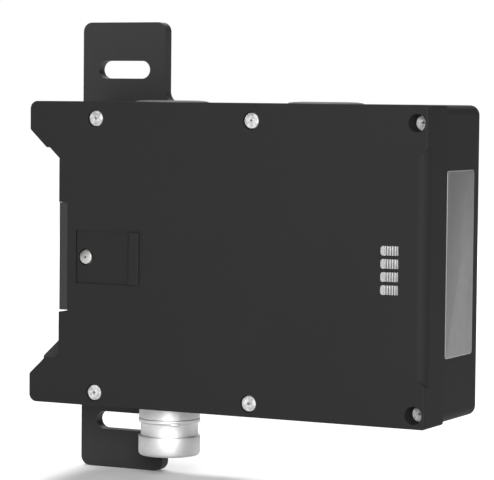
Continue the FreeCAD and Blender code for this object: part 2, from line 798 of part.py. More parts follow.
def make_bolt_follower():
    gap = FREE_GAP
    y0 = GUIDE_FRONT + GUIDE_WALL + gap
    y1 = GUIDE_BACK - GUIDE_WALL - gap
    z0 = LOCK_Z - GUIDE_HALF + GUIDE_WALL + gap
    z1 = LOCK_Z + GUIDE_HALF - FOLLOWER_DROP
    block = box(FOLLOWER_X, FOLLOWER_X + FOLLOWER_LENGTH, y0, y1, z0, z1)
    face_edges = [e for e in block.Edges if abs(e.BoundBox.XMax - FOLLOWER_X) < 1e-4]
    block = block.makeFillet(1.5, face_edges)
    seat = rod_x(FOLLOWER_X + FOLLOWER_LENGTH - 3, FOLLOWER_X + FOLLOWER_LENGTH + 1, LEVER_Y, LOCK_Z - 3,
                 FOLLOWER_SPRING_R + SPRING_WIRE_R + FREE_GAP)
    return block.cut(seat)


def make_follower_spring():
    start = FOLLOWER_X + FOLLOWER_LENGTH - 3 + RUN_GAP
    end = GUIDE_LENGTH - GUIDE_WALL - RUN_GAP
    return spring_x(start, end, LEVER_Y, LOCK_Z - 3, FOLLOWER_SPRING_R, FOLLOWER_SPRING_TURNS)


def make_read_head():
    half = READ_HEAD_HEIGHT / 2
    block = box(READ_HEAD_X, READ_HEAD_X + READ_HEAD_LENGTH, GUIDE_BACK + FREE_GAP, INNER_BACK,
                LOCK_Z - half, LOCK_Z + half)
    front = edges_at_y(block, GUIDE_BACK + FREE_GAP)
    return block.makeFillet(1.5, front)


# Locking lever and its pin

def make_lock_lever():
    y0 = LEVER_Y - LEVER_THICKNESS / 2
    y1 = LEVER_Y + LEVER_THICKNESS / 2
    hub = rod_y(PIVOT_X, LEVER_Y - LEVER_HUB_L / 2, LEVER_Y + LEVER_HUB_L / 2, PIVOT_Z, LEVER_HUB_R)
    arm = box(CLAW_LEFT, PIVOT_X, y0, y1, PIVOT_Z - ARM_UNDER, PIVOT_Z + ARM_OVER)
    claw = box(CLAW_LEFT, CLAW_LEFT + CLAW_WIDTH, y0, y1, PIVOT_Z - CLAW_DROP, PIVOT_Z + ARM_OVER)
    link_half = LINK_THICKNESS / 2
    link = box(PIVOT_X - 4, PIVOT_X + 4, LEVER_Y - link_half, LEVER_Y + link_half, PIVOT_Z, LINK_Z + 4)
    tooth_front = FINGER_BACK + FREE_GAP
    tooth_right = TOOTH_LEFT + TOOTH_WIDTH
    lug = box(TOOTH_LEFT, tooth_right, tooth_front, LEVER_Y, PIVOT_Z + 4, PIVOT_Z + 8)
    tooth = box(TOOTH_LEFT, tooth_right, tooth_front, GUIDE_FRONT - 0.7, PIVOT_Z - 2, PIVOT_Z + 8)
    lever = join(hub, arm, claw, link, lug, tooth)
    lever = lever.cut(rod_y(PIVOT_X, y0 - 2, y1 + 2, PIVOT_Z, PIN_R + RUN_GAP))
    half_slot = LINK_PIN_R + FREE_GAP
    slot = box(PIVOT_X - half_slot, PIVOT_X + half_slot, LEVER_Y - 3, LEVER_Y + 3, LINK_Z - 2.4, LINK_Z + 5)
    return lever.cut(slot).removeSplitter()


def make_lever_pin():
    front = LEVER_Y - LEVER_HUB_L / 2 - 2.0
    return rod_y(PIVOT_X, front, INNER_BACK - 1.5, PIVOT_Z, PIN_R)


def make_lever_clip():
    y1 = LEVER_Y - LEVER_HUB_L / 2 - 0.2
    ring = rod_y(PIVOT_X, y1 - 0.8, y1, PIVOT_Z, PIN_R + 2)
    return ring.cut(rod_y(PIVOT_X, y1 - 2, y1 + 1, PIVOT_Z, PIN_R))


# Solenoid

def yoke_screw_places():
    return [(YOKE_LEFT - YOKE_TAB / 2, LINK_Z), (YOKE_RIGHT + YOKE_TAB / 2, LINK_Z)]


def core_left():
    """Left end of the fixed core, against which the plunger rests."""
    return PLUNGER_LEFT + PLUNGER_LENGTH + FREE_GAP


def make_solenoid_yoke():
    y0 = LEVER_Y - YOKE_DEPTH / 2
    z0 = LINK_Z - YOKE_HEIGHT / 2
    z1 = LINK_Z + YOKE_HEIGHT / 2
    back = box(YOKE_LEFT, YOKE_RIGHT, YOKE_BACK - YOKE_PLATE, YOKE_BACK, z0, z1)
    left = box(YOKE_LEFT, YOKE_LEFT + YOKE_PLATE, y0, YOKE_BACK, z0, z1)
    right = box(YOKE_RIGHT - YOKE_PLATE, YOKE_RIGHT, y0, YOKE_BACK, z0, z1)
    tabs = box(YOKE_LEFT - YOKE_TAB, YOKE_RIGHT + YOKE_TAB, YOKE_BACK - YOKE_PLATE, YOKE_BACK,
               LINK_Z - 5, LINK_Z + 5)
    core = rod_x(core_left(), YOKE_RIGHT, LEVER_Y, LINK_Z, PLUNGER_R)
    yoke = join(back, left, right, tabs, core)
    yoke = yoke.cut(rod_x(YOKE_LEFT - 1, YOKE_LEFT + YOKE_PLATE + 1, LEVER_Y, LINK_Z, PLUNGER_R + FREE_GAP))
    for x, z in yoke_screw_places():
        yoke = yoke.cut(rod_y(x, YOKE_BACK - YOKE_PLATE - 1, YOKE_BACK + 1, z, SMALL_SCREW_R + FREE_GAP))
    return yoke


def make_solenoid_coil():
    x0 = YOKE_LEFT + YOKE_PLATE
    x1 = YOKE_RIGHT - YOKE_PLATE
    cheek = 1.5
    coil = rod_x(x0 + cheek, x1 - cheek, LEVER_Y, LINK_Z, COIL_R - 1.2)
    for x in (x0, x1 - cheek):
        coil = coil.fuse(rod_x(x, x + cheek, LEVER_Y, LINK_Z, YOKE_BACK - YOKE_PLATE - LEVER_Y))
    coil = coil.cut(rod_x(x0 - 1, x1 + 1, LEVER_Y, LINK_Z, PLUNGER_R + FREE_GAP))
    return coil.removeSplitter()


def make_solenoid_plunger():
    end = PLUNGER_LEFT + PLUNGER_LENGTH
    plunger = rod_x(PLUNGER_LEFT, end, LEVER_Y, LINK_Z, PLUNGER_R)
    half = LINK_THICKNESS / 2 + FREE_GAP * 2
    plunger = plunger.cut(box(PLUNGER_LEFT - 1, PIVOT_X + 7, LEVER_Y - half, LEVER_Y + half,
                              LINK_Z - 8, LINK_Z + 8))
    collar = rod_x(PIVOT_X + 8, PIVOT_X + 9, LEVER_Y, LINK_Z, COLLAR_R)
    plunger = join(plunger, collar)
    return plunger.cut(rod_y(PIVOT_X, LEVER_Y - 8, LEVER_Y + 8, LINK_Z, LINK_PIN_R))


def make_link_pin():
    return rod_y(PIVOT_X, LEVER_Y - PLUNGER_R, LEVER_Y + PLUNGER_R, LINK_Z, LINK_PIN_R)


def make_plunger_spring():
    start = PIVOT_X + 9 + RUN_GAP
    return spring_x(start, YOKE_LEFT - RUN_GAP, LEVER_Y, LINK_Z, PLUNGER_SPRING_R, PLUNGER_SPRING_TURNS)


def make_yoke_screws():
    screws = []
    for x, z in yoke_screw_places():
        head = YOKE_BACK - YOKE_PLATE - SMALL_HEAD_H
        screws.append(pan_screw(x, head, z, SMALL_HEAD_R, SMALL_HEAD_H, SMALL_SCREW_R, YOKE_SCREW_L))
    return Part.makeCompound(screws)


# Auxiliary release

def release_seal_front():
    """Front face of the seal under the release head."""
    return FRONT + RELEASE_HEAD_H + FIT_GAP


def make_release_spindle():
    seal = release_seal_front()
    head = rod_y(RELEASE_X, seal - RELEASE_HEAD_H, seal, LOCK_Z, RELEASE_HEAD_R)
    head = head.makeFillet(0.6, edges_at_y(head, seal - RELEASE_HEAD_H))
    shaft = rod_y(RELEASE_X, seal, FINGER_BACK, LOCK_Z, RELEASE_SHAFT_R)
    spindle = join(head, shaft)
    return spindle.cut(cross_recess(RELEASE_X, seal - RELEASE_HEAD_H - 1, LOCK_Z, 1.9, 0.8, 1.9))


def make_release_seal():
    seal = release_seal_front()
    ring = rod_y(RELEASE_X, seal, seal + RELEASE_SEAL, LOCK_Z, RELEASE_HEAD_R)
    return ring.cut(rod_y(RELEASE_X, seal - 1, seal + 2, LOCK_Z, RELEASE_SHAFT_R + RUN_GAP))


def make_release_finger():
    hub = rod_y(RELEASE_X, FINGER_FRONT, FINGER_BACK, LOCK_Z, FINGER_HUB_R)
    half = FINGER_WIDTH / 2
    arm = box(RELEASE_X, RELEASE_X + FINGER_RADIUS, FINGER_FRONT, FINGER_BACK, LOCK_Z - half, LOCK_Z + half)
    tip = rod_y(RELEASE_X + FINGER_RADIUS, FINGER_FRONT, FINGER_BACK, LOCK_Z, half)
    peg = rod_y(RELEASE_X + FINGER_RADIUS, FINGER_BACK, FINGER_BACK + PEG_LENGTH, LOCK_Z, PEG_R)
    finger = join(hub, arm, tip, peg)
    finger = finger.cut(rod_y(RELEASE_X, FINGER_FRONT - 1, FINGER_BACK + 1, LOCK_Z, RELEASE_SHAFT_R))
    finger.rotate(V(RELEASE_X, 0, LOCK_Z), V(0, -1, 0), FINGER_REST_ANGLE)
    return finger


# Status windows and display board

def pipe_heights():
    """Z of the middle of each light pipe."""
    return [PIPE_Z + (i - (PIPE_COUNT - 1) / 2) * PIPE_PITCH for i in range(PIPE_COUNT)]


def pipe_section(z, y0, y1, gap):
    """Window shape: round at its left end and square at its right."""
    half = PIPE_HEIGHT / 2 + gap
    x0 = PIPE_X - gap
    x1 = PIPE_X + PIPE_LENGTH + gap
    block = box(x0 + half, x1, y0, y1, z - half, z + half)
    return block.fuse(rod_y(x0 + half, y0, y1, z, half))


def make_light_pipes():
    pipes = []
    led_front = DISPLAY_FRONT - LED_HEIGHT - FREE_GAP
    for z in pipe_heights():
        pipe = pipe_section(z, FRONT - PIPE_PROUD, INNER_FRONT, 0)
        shoulder = pipe_section(z, INNER_FRONT, INNER_FRONT + 1, 0.4)
        stem = box(PIPE_X + 2, PIPE_X + 6, INNER_FRONT + 1, led_front, z - 1.2, z + 1.2)
        pipe = join(pipe, shoulder, stem)
        x = PIPE_X + PIPE_HEIGHT / 2
        while x < PIPE_X + PIPE_LENGTH - PIPE_RIB:
            pipe = pipe.cut(box(x, x + PIPE_RIB / 2, FRONT - 1, FRONT + PIPE_RIB / 2,
                                z - PIPE_HEIGHT, z + PIPE_HEIGHT))
            x += PIPE_RIB
        pipes.append(pipe)
    return Part.makeCompound(pipes)


def display_posts():
    """Posts on the cover's inside that carry the display board."""
    left = PIPE_X - 5.5
    right = DISPLAY_RIGHT - DISPLAY_POST_INSET
    reach = DISPLAY_HALF - DISPLAY_POST_INSET
    return [(x, PIPE_Z + side * reach) for x in (left, right) for side in (1, -1)]


def make_display_board():
    board = box(DISPLAY_LEFT, DISPLAY_RIGHT, DISPLAY_FRONT, DISPLAY_BACK,
                PIPE_Z - DISPLAY_HALF, PIPE_Z + DISPLAY_HALF)
    for x, z in display_posts():
        board = board.cut(rod_y(x, DISPLAY_FRONT - 1, DISPLAY_BACK + 1, z, SMALL_SCREW_R + FREE_GAP))
    return board


def make_display_screws():
    screws = []
    for x, z in display_posts():
        screw = pan_screw(x, 0, z, SMALL_HEAD_R - 0.3, SMALL_HEAD_H, SMALL_SCREW_R, DISPLAY_SCREW_L)
        screw.rotate(V(x, 0, z), V(0, 0, 1), 180)
        screw.translate(V(0, DISPLAY_BACK + SMALL_HEAD_H, 0))
        screws.append(screw)
    return Part.makeCompound(screws)


def make_status_leds():
    leds = []
    x = PIPE_X + 2.5
    front = DISPLAY_FRONT - LED_HEIGHT
    for z in pipe_heights():
        leds.append(box(x, x + LED_WIDTH, front, DISPLAY_FRONT, z - LED_HALF, z + LED_HALF))
    return Part.makeCompound(leds)


# Main board and what it carries

def board_screw_places():
    inset = BOARD_SCREW_INSET
    return [(x, z) for x in (BOARD_LEFT + inset, BOARD_RIGHT - inset)
            for z in (BOARD_BOTTOM + inset + BOARD_SCREW_RAISE, BOARD_TOP - inset)]


def make_main_board():
    board = box(BOARD_LEFT, BOARD_RIGHT, BOARD_FRONT, BOARD_BACK, BOARD_BOTTOM, BOARD_TOP)
    upright = [e for e in board.Edges if e.BoundBox.YLength > BOARD_T / 2]
    board = board.makeFillet(1.5, upright)
    for x, z in board_screw_places():
        board = board.cut(rod_y(x, BOARD_FRONT - 1, BOARD_BACK + 1, z, SMALL_SCREW_R + FREE_GAP))
    for x, z in yoke_screw_places():
        board = board.cut(rod_y(x, BOARD_FRONT - 1, BOARD_BACK + 1, z, POST_R + FREE_GAP))
    return board


def make_board_screws():
    screws = []
    for x, z in board_screw_places():
        head = BOARD_FRONT - SMALL_HEAD_H
        screws.append(pan_screw(x, head, z, SMALL_HEAD_R, SMALL_HEAD_H, SMALL_SCREW_R, BOARD_SCREW_L))
    return Part.makeCompound(screws)


def make_terminal_block():
    pitch = TERMINAL_PITCH
    x0 = BOARD_LEFT + TERMINAL_INSET
    poles = int((RELAY_LEFT - x0 - TERMINAL_GAP) / pitch + 0.01)
    x1 = x0 + poles * pitch
    z0 = BOARD_BOTTOM + TERMINAL_RAISE
    z1 = z0 + TERMINAL_WIDTH
    front = BOARD_FRONT - TERMINAL_HEIGHT
    body = box(x0, x1, front, BOARD_FRONT, z0, z1)
    for i in range(poles):
        x = x0 + (i + 0.5) * pitch
        body = body.cut(rod_y(x, front - 1, front + 4, z0 + 8.5, 1.7))
        body = body.cut(box(x - 1.7, x + 1.7, front + 6, front + 10, z0 - 1, z0 + 5))
    return body


def make_safety_relays():
    relays = []
    front = BOARD_FRONT - RELAY_HEIGHT
    z = BOARD_BOTTOM + RELAY_RAISE
    for i in range(RELAY_COUNT):
        x = RELAY_LEFT + i * RELAY_PITCH
        relay = box(x, x + RELAY_WIDTH, front, BOARD_FRONT, z, z + RELAY_LENGTH)
        relays.append(relay.makeFillet(0.8, edges_at_y(relay, front)))
    return Part.makeCompound(relays)


def make_capacitors():
    cans = []
    front = BOARD_FRONT - CAN_LENGTH
    for i in range(CAN_COUNT):
        z = BOARD_BOTTOM + CAN_RAISE + i * CAN_PITCH
        can = rod_y(BOARD_LEFT + CAN_INSET, front, BOARD_FRONT, z, CAN_R)
        cans.append(can.makeFillet(0.8, edges_at_y(can, front)))
    return Part.makeCompound(cans)


def make_processor_chips():
    chips = []
    count = int((BOARD_RIGHT - BOARD_LEFT - CHIP_INSET - CHIP_MARGIN) / CHIP_PITCH)
    z = BOARD_BOTTOM + CHIP_RAISE
    for i in range(count):
        x = BOARD_LEFT + CHIP_INSET + i * CHIP_PITCH
        chips.append(box(x, x + CHIP_SIZE, BOARD_FRONT - CHIP_T, BOARD_FRONT, z, z + CHIP_SIZE))
    return Part.makeCompound(chips)


# Plugs and connector

def plug_places():
    """X and side of each blanked cable entry."""
    return [(ENTRY_X[0], 1), (ENTRY_X[1], 1), (ENTRY_X[1], -1)]


def one_plug(x, side):
    """Blanking plug with its head outside the top wall, turned over for the bottom."""
    head = rod_z(x, ENTRY_Y, TOP, TOP + PLUG_HEAD_H, PLUG_HEAD_R)
    rim = [e for e in head.Edges if e.BoundBox.ZMin > TOP + PLUG_HEAD_H - 1e-4]
    head = head.makeChamfer(PLUG_CHAMFER, rim)
    shank = rod_z(x, ENTRY_Y, TOP - PLUG_SHANK_L, TOP, ENTRY_R - FIT_GAP)
    plug = join(head, shank)
    plug = plug.cut(rod_z(x, ENTRY_Y, TOP - PLUG_SHANK_L - 1, TOP - 1.5, ENTRY_R - 2.5))
    face = TOP + PLUG_HEAD_H
    plug = plug.cut(box(x - 8, x + 8, ENTRY_Y - 1.2, ENTRY_Y + 1.2, face - 0.9, face + 1))
    plug = plug.cut(one_seal(x))
    if side < 0:
        plug.rotate(V(x, ENTRY_Y, 0), V(0, 1, 0), 180)
    return plug


def one_seal(x):
    """Flat seal ring in the face that meets the top wall."""
    height = SEAL_THICKNESS * 0.8
    outer = rod_z(x, ENTRY_Y, TOP, TOP + height, PLUG_HEAD_R - 0.9)
    return outer.cut(rod_z(x, ENTRY_Y, TOP - 1, TOP + height + 1, ENTRY_R + 0.3))


def make_blanking_plugs():
    return Part.makeCompound([one_plug(x, side) for x, side in plug_places()])


def make_plug_seals():
    rings = []
    for x, side in plug_places():
        ring = one_seal(x)
        if side < 0:
            ring.rotate(V(x, ENTRY_Y, 0), V(0, 1, 0), 180)
        rings.append(ring)
    return Part.makeCompound(rings)


def ring_profile():
    """Half section of the connector shell's outside, from the housing downwards."""
    c = RING_CHAMFER
    top = -TOP
    lip = top - UPPER_RING_H
    low = lip - NECK_H
    return [
        (0, top),
        (RING_R - c / 4, top),
        (RING_R - c / 4, lip + 2.5 * c),
        (RING_R, lip + 2 * c),
        (RING_R, lip + c),
        (NECK_R + 0.3, lip + 0.3),
        (NECK_R, lip - c),
        (NECK_R, low),
        (RING_R, low - c / 2),
        (RING_R, CONNECTOR_BOTTOM + 1.6 * c),
        (RING_R - c, CONNECTOR_BOTTOM),
        (0, CONNECTOR_BOTTOM),
    ]


def make_connector_shell():
    x = ENTRY_X[0]
    points = [V(r, 0, z) for r, z in ring_profile()]
    wire = Part.makePolygon(points + [points[0]])
    shell = Part.Face(wire).revolve(V(0, 0, 0), V(0, 0, 1), 360)
    shell.translate(V(x, ENTRY_Y, 0))
    shank = rod_z(x, ENTRY_Y, -TOP - 1, -TOP + WALL + NUT_H + 1.5, ENTRY_R - FIT_GAP)
    shell = join(shell, shank)
    shell = shell.cut(rod_z(x, ENTRY_Y, CONNECTOR_BOTTOM - 1, 0, SOCKET_R))
    key = box(x - 0.9, x + 0.9, ENTRY_Y - RING_R - 0.4, ENTRY_Y - NECK_R + 0.5,
              -TOP - UPPER_RING_H - 0.6, -TOP - UPPER_RING_H + 1.2)
    shell = shell.fuse(key)
    return shell.cut(make_connector_seal()).removeSplitter()


def make_connector_seal():
    x = ENTRY_X[0]
    ring = rod_z(x, ENTRY_Y, -TOP - SEAL_THICKNESS, -TOP, NECK_R - FIT_GAP)
    return ring.cut(rod_z(x, ENTRY_Y, -TOP - 3, 0, SOCKET_R + 0.9))


def make_connector_nut():
    x = ENTRY_X[0]
    z0 = -INNER_TOP
    nut = rod_z(x, ENTRY_Y, z0, z0 + NUT_H, NUT_R)
    nut = nut.cut(rod_z(x, ENTRY_Y, z0 - 1, z0 + NUT_H + 1, ENTRY_R - FIT_GAP))
    for i in range(6):
        notch = box(NUT_R - 0.8, NUT_R + 1, -1.2, 1.2, z0 - 1, z0 + NUT_H + 1)
        notch.rotate(V(0, 0, 0), V(0, 0, 1), 60 * i)
        notch.translate(V(x, ENTRY_Y, 0))
        nut = nut.cut(notch)
    return nut


def contact_places():
    """X and Y of each contact, on rings around the connector's axis."""
    places = []
    for radius, count in zip(CONTACT_RING_R, CONTACT_COUNTS):
        for i in range(count):
            angle = 2 * math.pi * i / count
            places.append((ENTRY_X[0] + radius * math.cos(angle), ENTRY_Y + radius * math.sin(angle)))
    return places


def make_connector_insert():
    x = ENTRY_X[0]
    face = CONNECTOR_BOTTOM + SOCKET_DEPTH
    top = -TOP + WALL + INSERT_TOP
    body = rod_z(x, ENTRY_Y, face, top, SOCKET_R)
    for px, py in contact_places():
        body = body.cut(rod_z(px, py, face - 1, top + 1, CONTACT_R))
    return body


def make_connector_contacts():
    face = CONNECTOR_BOTTOM + SOCKET_DEPTH
    top = -TOP + WALL + INSERT_TOP + 2.5
    start = face - CONTACT_REACH
    return Part.makeCompound([rod_z(px, py, start, top, CONTACT_R) for px, py in contact_places()])


PIECES = {
    "mounting_plate": make_mounting_plate,
    "plate_screws": make_plate_screws,
    "housing_base": make_housing_base,
    "cover_gasket": make_cover_gasket,
    "housing_cover": make_housing_cover,
    "cover_screws": make_cover_screws,
    "type_label": make_type_label,
    "mouth_frame": make_mouth_frame,
    "frame_screws": make_frame_screws,
    "bolt_guide": make_bolt_guide,
    "guide_screws": make_guide_screws,
    "bolt_follower": make_bolt_follower,
    "follower_spring": make_follower_spring,
    "read_head": make_read_head,
    "lock_lever": make_lock_lever,
    "lever_pin": make_lever_pin,
    "lever_clip": make_lever_clip,
    "solenoid_yoke": make_solenoid_yoke,
    "solenoid_coil": make_solenoid_coil,
    "solenoid_plunger": make_solenoid_plunger,
    "link_pin": make_link_pin,
    "plunger_spring": make_plunger_spring,
    "yoke_screws": make_yoke_screws,
    "release_spindle": make_release_spindle,
    "release_seal": make_release_seal,
    "release_finger": make_release_finger,
    "light_pipes": make_light_pipes,
    "display_board": make_display_board,
    "display_screws": make_display_screws,
    "status_leds": make_status_leds,
    "main_board": make_main_board,
    "board_screws": make_board_screws,
    "terminal_block": make_terminal_block,
    "safety_relays": make_safety_relays,
    "capacitors": make_capacitors,
    "processor_chips": make_processor_chips,
    "blanking_plugs": make_blanking_plugs,
    "plug_seals": make_plug_seals,
    "connector_shell": make_connector_shell,
    "connector_seal": make_connector_seal,
    "connector_nut": make_connector_nut,
    "connector_insert": make_connector_insert,
    "connector_contacts": make_connector_contacts,
}


def main():
    os.makedirs("parts", exist_ok=True)
    for name, make in PIECES.items():
        shape = make()
        print(name, len(shape.Solids), shape.isValid(), round(shape.Volume, 1))
        shape.exportStep(f"parts/{name}.step")


main()
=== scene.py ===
import math

import bpy
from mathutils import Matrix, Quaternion, Vector


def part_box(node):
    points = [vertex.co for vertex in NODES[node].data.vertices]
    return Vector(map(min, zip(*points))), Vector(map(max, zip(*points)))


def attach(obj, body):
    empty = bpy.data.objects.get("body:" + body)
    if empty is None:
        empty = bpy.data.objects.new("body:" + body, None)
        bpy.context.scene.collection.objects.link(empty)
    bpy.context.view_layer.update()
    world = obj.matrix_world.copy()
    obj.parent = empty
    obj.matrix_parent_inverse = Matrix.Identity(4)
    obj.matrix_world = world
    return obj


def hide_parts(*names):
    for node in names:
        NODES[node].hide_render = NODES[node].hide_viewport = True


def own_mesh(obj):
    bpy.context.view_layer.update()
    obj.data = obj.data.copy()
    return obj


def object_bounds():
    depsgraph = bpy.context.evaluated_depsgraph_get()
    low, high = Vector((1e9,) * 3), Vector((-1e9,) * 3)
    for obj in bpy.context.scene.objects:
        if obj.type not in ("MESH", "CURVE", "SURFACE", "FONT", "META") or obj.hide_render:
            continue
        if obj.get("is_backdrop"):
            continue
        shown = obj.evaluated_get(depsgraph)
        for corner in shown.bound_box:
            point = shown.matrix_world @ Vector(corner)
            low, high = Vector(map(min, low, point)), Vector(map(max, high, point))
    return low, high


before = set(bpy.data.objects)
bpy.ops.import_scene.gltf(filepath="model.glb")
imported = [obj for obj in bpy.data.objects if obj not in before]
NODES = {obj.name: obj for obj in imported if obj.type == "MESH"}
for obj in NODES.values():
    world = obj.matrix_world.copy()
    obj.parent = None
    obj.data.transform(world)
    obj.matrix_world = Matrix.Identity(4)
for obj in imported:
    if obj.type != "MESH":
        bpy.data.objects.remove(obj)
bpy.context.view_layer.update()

bl_info = {
    "name": "Guard locking module",
    "version": (1, 0, 0),
    "blender": (4, 5, 0),
    "location": "View3D > Sidebar > Module",
    "description": "Dresses a guard locking module: case, plate, connector, screws, plugs, windows and label",
    "category": "Add Mesh",
}

MM = 0.001

# Lengths below are in millimetres, unless their comment says metres

# Cover screws: the CAD screw's head and length, from which the seats are found
CAD_HEAD_R = 3.4
CAD_HEAD_H = 2.0
CAD_SCREW_L = 22.0

# and the head and shank modelled here
SCREW_HEAD_H = 2.5
SCREW_SHANK_R = 1.85
SCREW_SHANK_L = 21.8
THREAD_PITCH = 0.7
RECESS_R = 1.3

# Status windows: their number and pitch, how far the CAD window's hidden flange stands out at either end,
# and the length of the plain left end
WINDOW_COUNT = 4
WINDOW_PITCH = 5.0
WINDOW_FLANGE = 0.45
WINDOW_CAP = 1.5

# Blanking plugs: radii of the head and of the shank in the entry
PLUG_HEAD_R = 15.1
PLUG_SHANK_R = 12.4

# Connector: radii of its bore and of its spigot in the case, and how far below the case the upper band
# ends and the lower one begins; the narrow part between them is set in by a step
BORE_R = 10.4
SPIGOT_R = 12.4
BAND_END = 9.4
BAND_START = 14.7
NECK_STEP = 0.9

# How far the bolt follower is pushed in, and the coils of its spring
FOLLOWER_TRAVEL = 8.0
SPRING_TURNS = 7

# How far a finished piece may reach past the box of the nodes that it stands for
PLACE_MARGIN = 1.2

# Sockets of the mix node when it mixes colours: factor, first and second colour, and the result
MIX_FACTOR, MIX_A, MIX_B, MIX_RESULT = 0, 6, 7, 2

# Softboxes: name, place in metres, what it points at, power in watts, width and height in metres
STUDIO_LIGHTS = (
    ("key", (0.735, -1.375, 0.34), (0.08, -0.05, 0.0), 34.0, 0.6, 0.5),
    ("left_box", (-0.74, -1.50, 0.26), (0.05, -0.06, 0.0), 2.0, 0.8, 0.7),
    ("back_box", (-0.50, 1.60, 0.80), (0.08, 0.0, 0.0), 7.0, 1.0, 0.8),
)

# A wide sun straight above, and the white room's light on the object; the camera sees the room fully white
OVERHEAD_LIGHT = 3.1
OVERHEAD_ANGLE = 35
ROOM_LIGHT = 0.12

# Camera: place and aim in metres, focal length in millimetres on a 36 mm sensor, roll in degrees
CAMERA_EYE = (0.521251, -0.915638, 0.063347)
CAMERA_AIM = (0.085829, -0.0593, 0.008173)
FOCAL_LENGTH = 179.7
CAMERA_ROLL = 0.568


# Small helpers

def linear(code):
    """An sRGB hex colour as Blender's linear colour."""
    parts = [int(code[i:i + 2], 16) / 255 for i in (1, 3, 5)]
    return [p / 12.92 if p <= 0.04045 else ((p + 0.055) / 1.055) ** 2.4 for p in parts] + [1.0]


def per(mm):
    """Texture scale that gives one feature every so many millimetres."""
    return 1000.0 / mm


def add(tree, kind, settings=None, **links):
    """A node of one kind, with settings on its sockets or properties, and links into its named sockets."""
    node = tree.nodes.new(kind)
    for key, value in (settings or {}).items():
        if key in node.inputs:
            node.inputs[key].default_value = value
        else:
            setattr(node, key, value)
    for key, source in links.items():
        tree.links.new(source, node.inputs[key.replace("_", " ")])
    return node


def new_material(name):
    """An empty node material; gives its tree and its Object coordinates."""
    material = bpy.data.materials.new(name)
    material.use_nodes = True
    tree = material.node_tree
    tree.nodes.clear()
    return tree, add(tree, "ShaderNodeTexCoord").outputs["Object"]


def finish_material(tree, shader):
    """Joins the shader to the material's output."""
    add(tree, "ShaderNodeOutputMaterial", None, Surface=shader.outputs["BSDF"])


def nothing_selected():
    """Object mode with nothing selected."""
    if bpy.context.mode != "OBJECT":
        bpy.ops.object.mode_set(mode="OBJECT")
    bpy.ops.object.select_all(action="DESELECT")


def only(obj):
    """Makes one object active and the only one selected."""
    nothing_selected()
    obj.select_set(True)
    bpy.context.view_layer.objects.active = obj


def pick(obj, wanted, kind="FACE"):
    """In edit mode, selects the faces or edges that a test on their place and direction accepts."""
    bpy.ops.mesh.select_mode(type=kind)
    bpy.ops.mesh.select_all(action="DESELECT")
    bpy.ops.object.mode_set(mode="OBJECT")
    mesh = obj.data
    if kind == "FACE":
        for face in mesh.polygons:
            face.select = wanted(face.center, face.normal)
    else:
        for edge in mesh.edges:
            a, b = (mesh.vertices[i].co for i in edge.vertices)
            edge.select = wanted((a + b) / 2, (b - a).normalized())
    bpy.ops.object.mode_set(mode="EDIT")


def use_modifier(obj, kind, **settings):
    """Adds a modifier and applies it."""
    only(obj)
    modifier = obj.modifiers.new(kind.title(), kind)
    for key, value in settings.items():
        setattr(modifier, key, value)
    bpy.ops.object.modifier_apply(modifier=modifier.name)


def smooth(obj, angle):
    """Smooths the faces that meet at less than an angle in degrees."""
    only(obj)
    bpy.ops.object.shade_smooth_by_angle(angle=math.radians(angle))


def soften(obj, width, segments=3, angle=30):
    """Bevels the sharp edges of a finished shape and smooths the rest."""
    use_modifier(obj, "BEVEL", width=width * MM, segments=segments, limit_method="ANGLE",
                 angle_limit=math.radians(angle), harden_normals=False)
    smooth(obj, angle)


def cut_away(obj, cutter):
    """Cuts one shape from another and deletes the cutter."""
    use_modifier(obj, "BOOLEAN", operation="DIFFERENCE", object=cutter, solver="EXACT")
    bpy.data.objects.remove(cutter)


def block(name, low, high):
    """A cuboid between two corners in millimetres."""
    nothing_selected()
    middle = [(a + b) / 2 * MM for a, b in zip(low, high)]
    bpy.ops.mesh.primitive_cube_add(size=1, location=middle)
    obj = bpy.context.object
    obj.name = name
    obj.scale = [(b - a) * MM for a, b in zip(low, high)]
    bpy.ops.object.transform_apply(location=True, rotation=True, scale=True)
    return obj


def round_edges(obj, wanted, radius, segments=6):
    """Rounds the edges of a block that a test on their place and direction accepts."""
    only(obj)
    bpy.ops.object.mode_set(mode="EDIT")
    pick(obj, wanted, "EDGE")
    bpy.ops.mesh.bevel(offset=radius * MM, segments=segments)
    bpy.ops.object.mode_set(mode="OBJECT")


def turned(name, outline, steps=96):
    """A lathe part about Z: its half outline in millimetres is drawn point by point, then spun."""
    nothing_selected()
    bpy.ops.mesh.primitive_plane_add(size=MM, location=(0, 0, 0))
    obj = bpy.context.object
    obj.name = name
    bpy.ops.object.mode_set(mode="EDIT")
    bpy.ops.mesh.select_mode(type="VERT")
    bpy.ops.mesh.select_all(action="SELECT")
    bpy.ops.mesh.merge(type="CENTER")
    at = Vector((0, 0, 0))
    first = Vector((outline[0][0] * MM, 0, outline[0][1] * MM))
    bpy.ops.transform.translate(value=first - at)
    at = first
    for r, z in outline[1:]:
        there = Vector((r * MM, 0, z * MM))
        bpy.ops.mesh.extrude_vertices_move(TRANSFORM_OT_translate={"value": there - at})
        at = there
    bpy.ops.mesh.select_all(action="SELECT")
    bpy.ops.mesh.spin(steps=steps, angle=2 * math.pi, center=(0, 0, 0), axis=(0, 0, 1))
    bpy.ops.mesh.select_all(action="SELECT")
    bpy.ops.mesh.remove_doubles(threshold=0.00001)
    bpy.ops.mesh.normals_make_consistent(inside=False)
    bpy.ops.object.mode_set(mode="OBJECT")
    return obj


def dome(radius, rise, steps=6):
    """Half outline points of a shallow dome, from its crown at z = 0 outwards."""
    ball = (radius ** 2 + rise ** 2) / (2 * rise)
    points = []
    for i in range(steps + 1):
        r = radius * i / steps
        points.append((r, math.sqrt(ball ** 2 - r ** 2) - ball))
    return points


